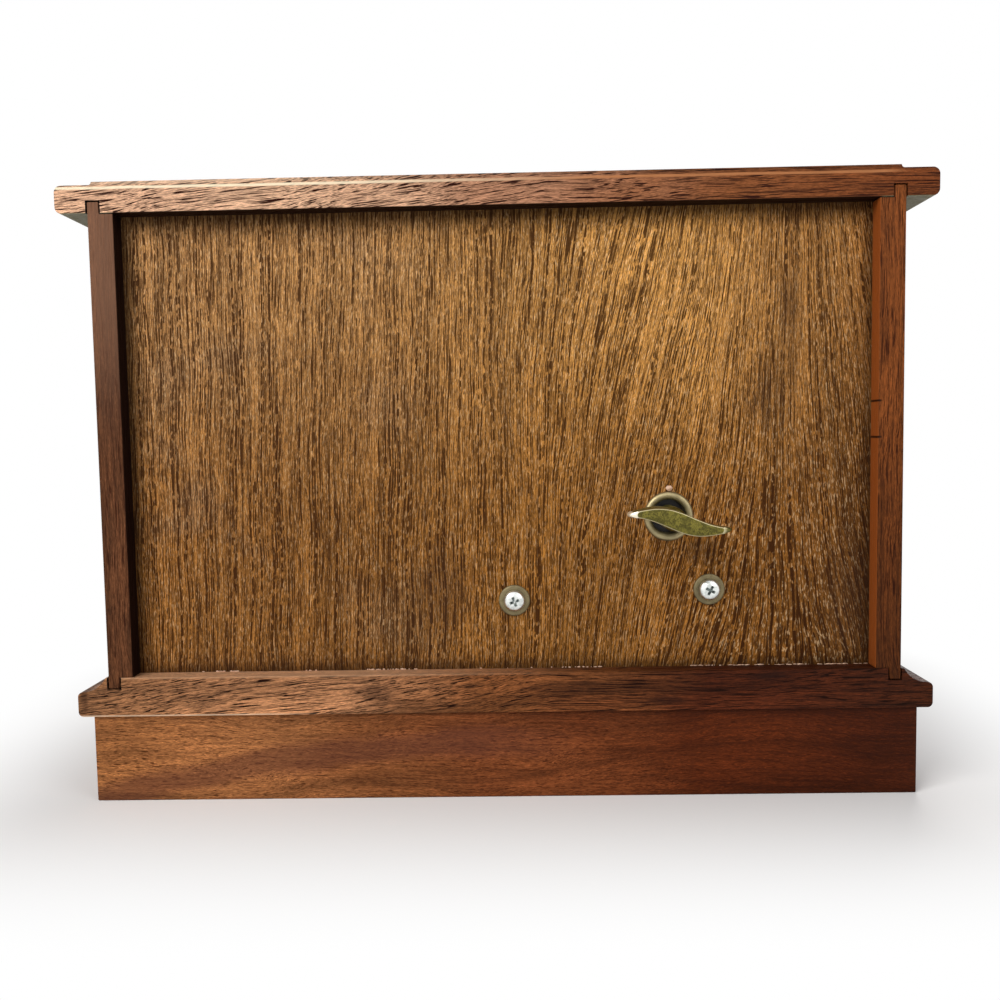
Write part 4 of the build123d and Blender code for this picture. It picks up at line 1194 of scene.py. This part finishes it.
class CHEST_OT_stage(Operator):
    """Floor, lamps and the camera at the photograph's angle"""

    bl_idname = "chest.stage"
    bl_label = "Stage"

    def execute(self, context):
        look = look_of(context)
        scene = context.scene
        bm = bmesh.new()
        half_metres = 6.0
        bmesh.ops.create_grid(bm, x_segments=8, y_segments=8, size=half_metres)
        floor = add_mesh("floor", bm)
        floor.data.materials.append(floor_white(0.9))

        target = Vector((0.0, PANEL_FACE, 80.0)) * MM
        for name, place, size, power in (
            ("lamp_main", (300, 420, 420), 360, look.light_level),
            ("lamp_side", (-330, 380, 330), 260, look.light_level * 0.2),
            ("lamp_front", (-200, -560, 420), 420, look.light_level * 1.1),
        ):
            data = bpy.data.lights.new(name, "AREA")
            data.shape, data.size, data.size_y = "RECTANGLE", size * MM, size * MM
            data.energy, data.color = power, look.light_tone
            lamp = bpy.data.objects.new(name, data)
            lamp.location = Vector(place) * MM
            lamp.rotation_mode = "QUATERNION"
            lamp.rotation_quaternion = (lamp.location - target).to_track_quat("Z", "Y")
            scene.collection.objects.link(lamp)
        scene.world = studio_world()

        data = bpy.data.cameras.new("photo_view")
        data.sensor_width, data.lens = CAMERA_SENSOR, CAMERA_LENS
        data.clip_start, data.clip_end = 0.01, 50.0
        camera = bpy.data.objects.new("photo_view", data)
        right, back = Vector(CAMERA_RIGHT), Vector(CAMERA_BACK)
        turn = Matrix((right, back.cross(right), back)).transposed()
        camera.matrix_world = Matrix.Translation(Vector(CAMERA_PLACE) * MM) @ turn.to_4x4()
        scene.collection.objects.link(camera)
        scene.camera = camera
        scene.view_settings.view_transform = "Standard"
        return {"FINISHED"}


STEPS = (
    CHEST_OT_carcass, CHEST_OT_drawers, CHEST_OT_knobs, CHEST_OT_cushion, CHEST_OT_key, CHEST_OT_eyelet,
    CHEST_OT_screws, CHEST_OT_movement, CHEST_OT_crumbs, CHEST_OT_stage,
)


class CHEST_PT_sidebar(Panel):
    """Lists the chest's settings and steps"""

    bl_idname = "CHEST_PT_sidebar"
    bl_label = "Jewellery Chest"
    bl_space_type = "VIEW_3D"
    bl_region_type = "UI"
    bl_category = "Chest"

    def draw(self, context):
        look = look_of(context)
        for name in ChestLook.__annotations__:
            self.layout.prop(look, name)
        for step in STEPS:
            self.layout.operator(step.bl_idname)


CLASSES = (ChestLook, *STEPS, CHEST_PT_sidebar)


def register():
    for cls in CLASSES:
        bpy.utils.register_class(cls)
    bpy.types.Scene.chest_look = PointerProperty(type=ChestLook)


def unregister():
    del bpy.types.Scene.chest_look
    for cls in reversed(CLASSES):
        bpy.utils.unregister_class(cls)


def main():
    register()
    for step in STEPS:
        group, name = step.bl_idname.split(".")
        result = getattr(getattr(bpy.ops, group), name)()
        if result != {"FINISHED"}:
            raise RuntimeError(f"{step.bl_idname} did not finish")


if __name__ == "__main__":
    main()
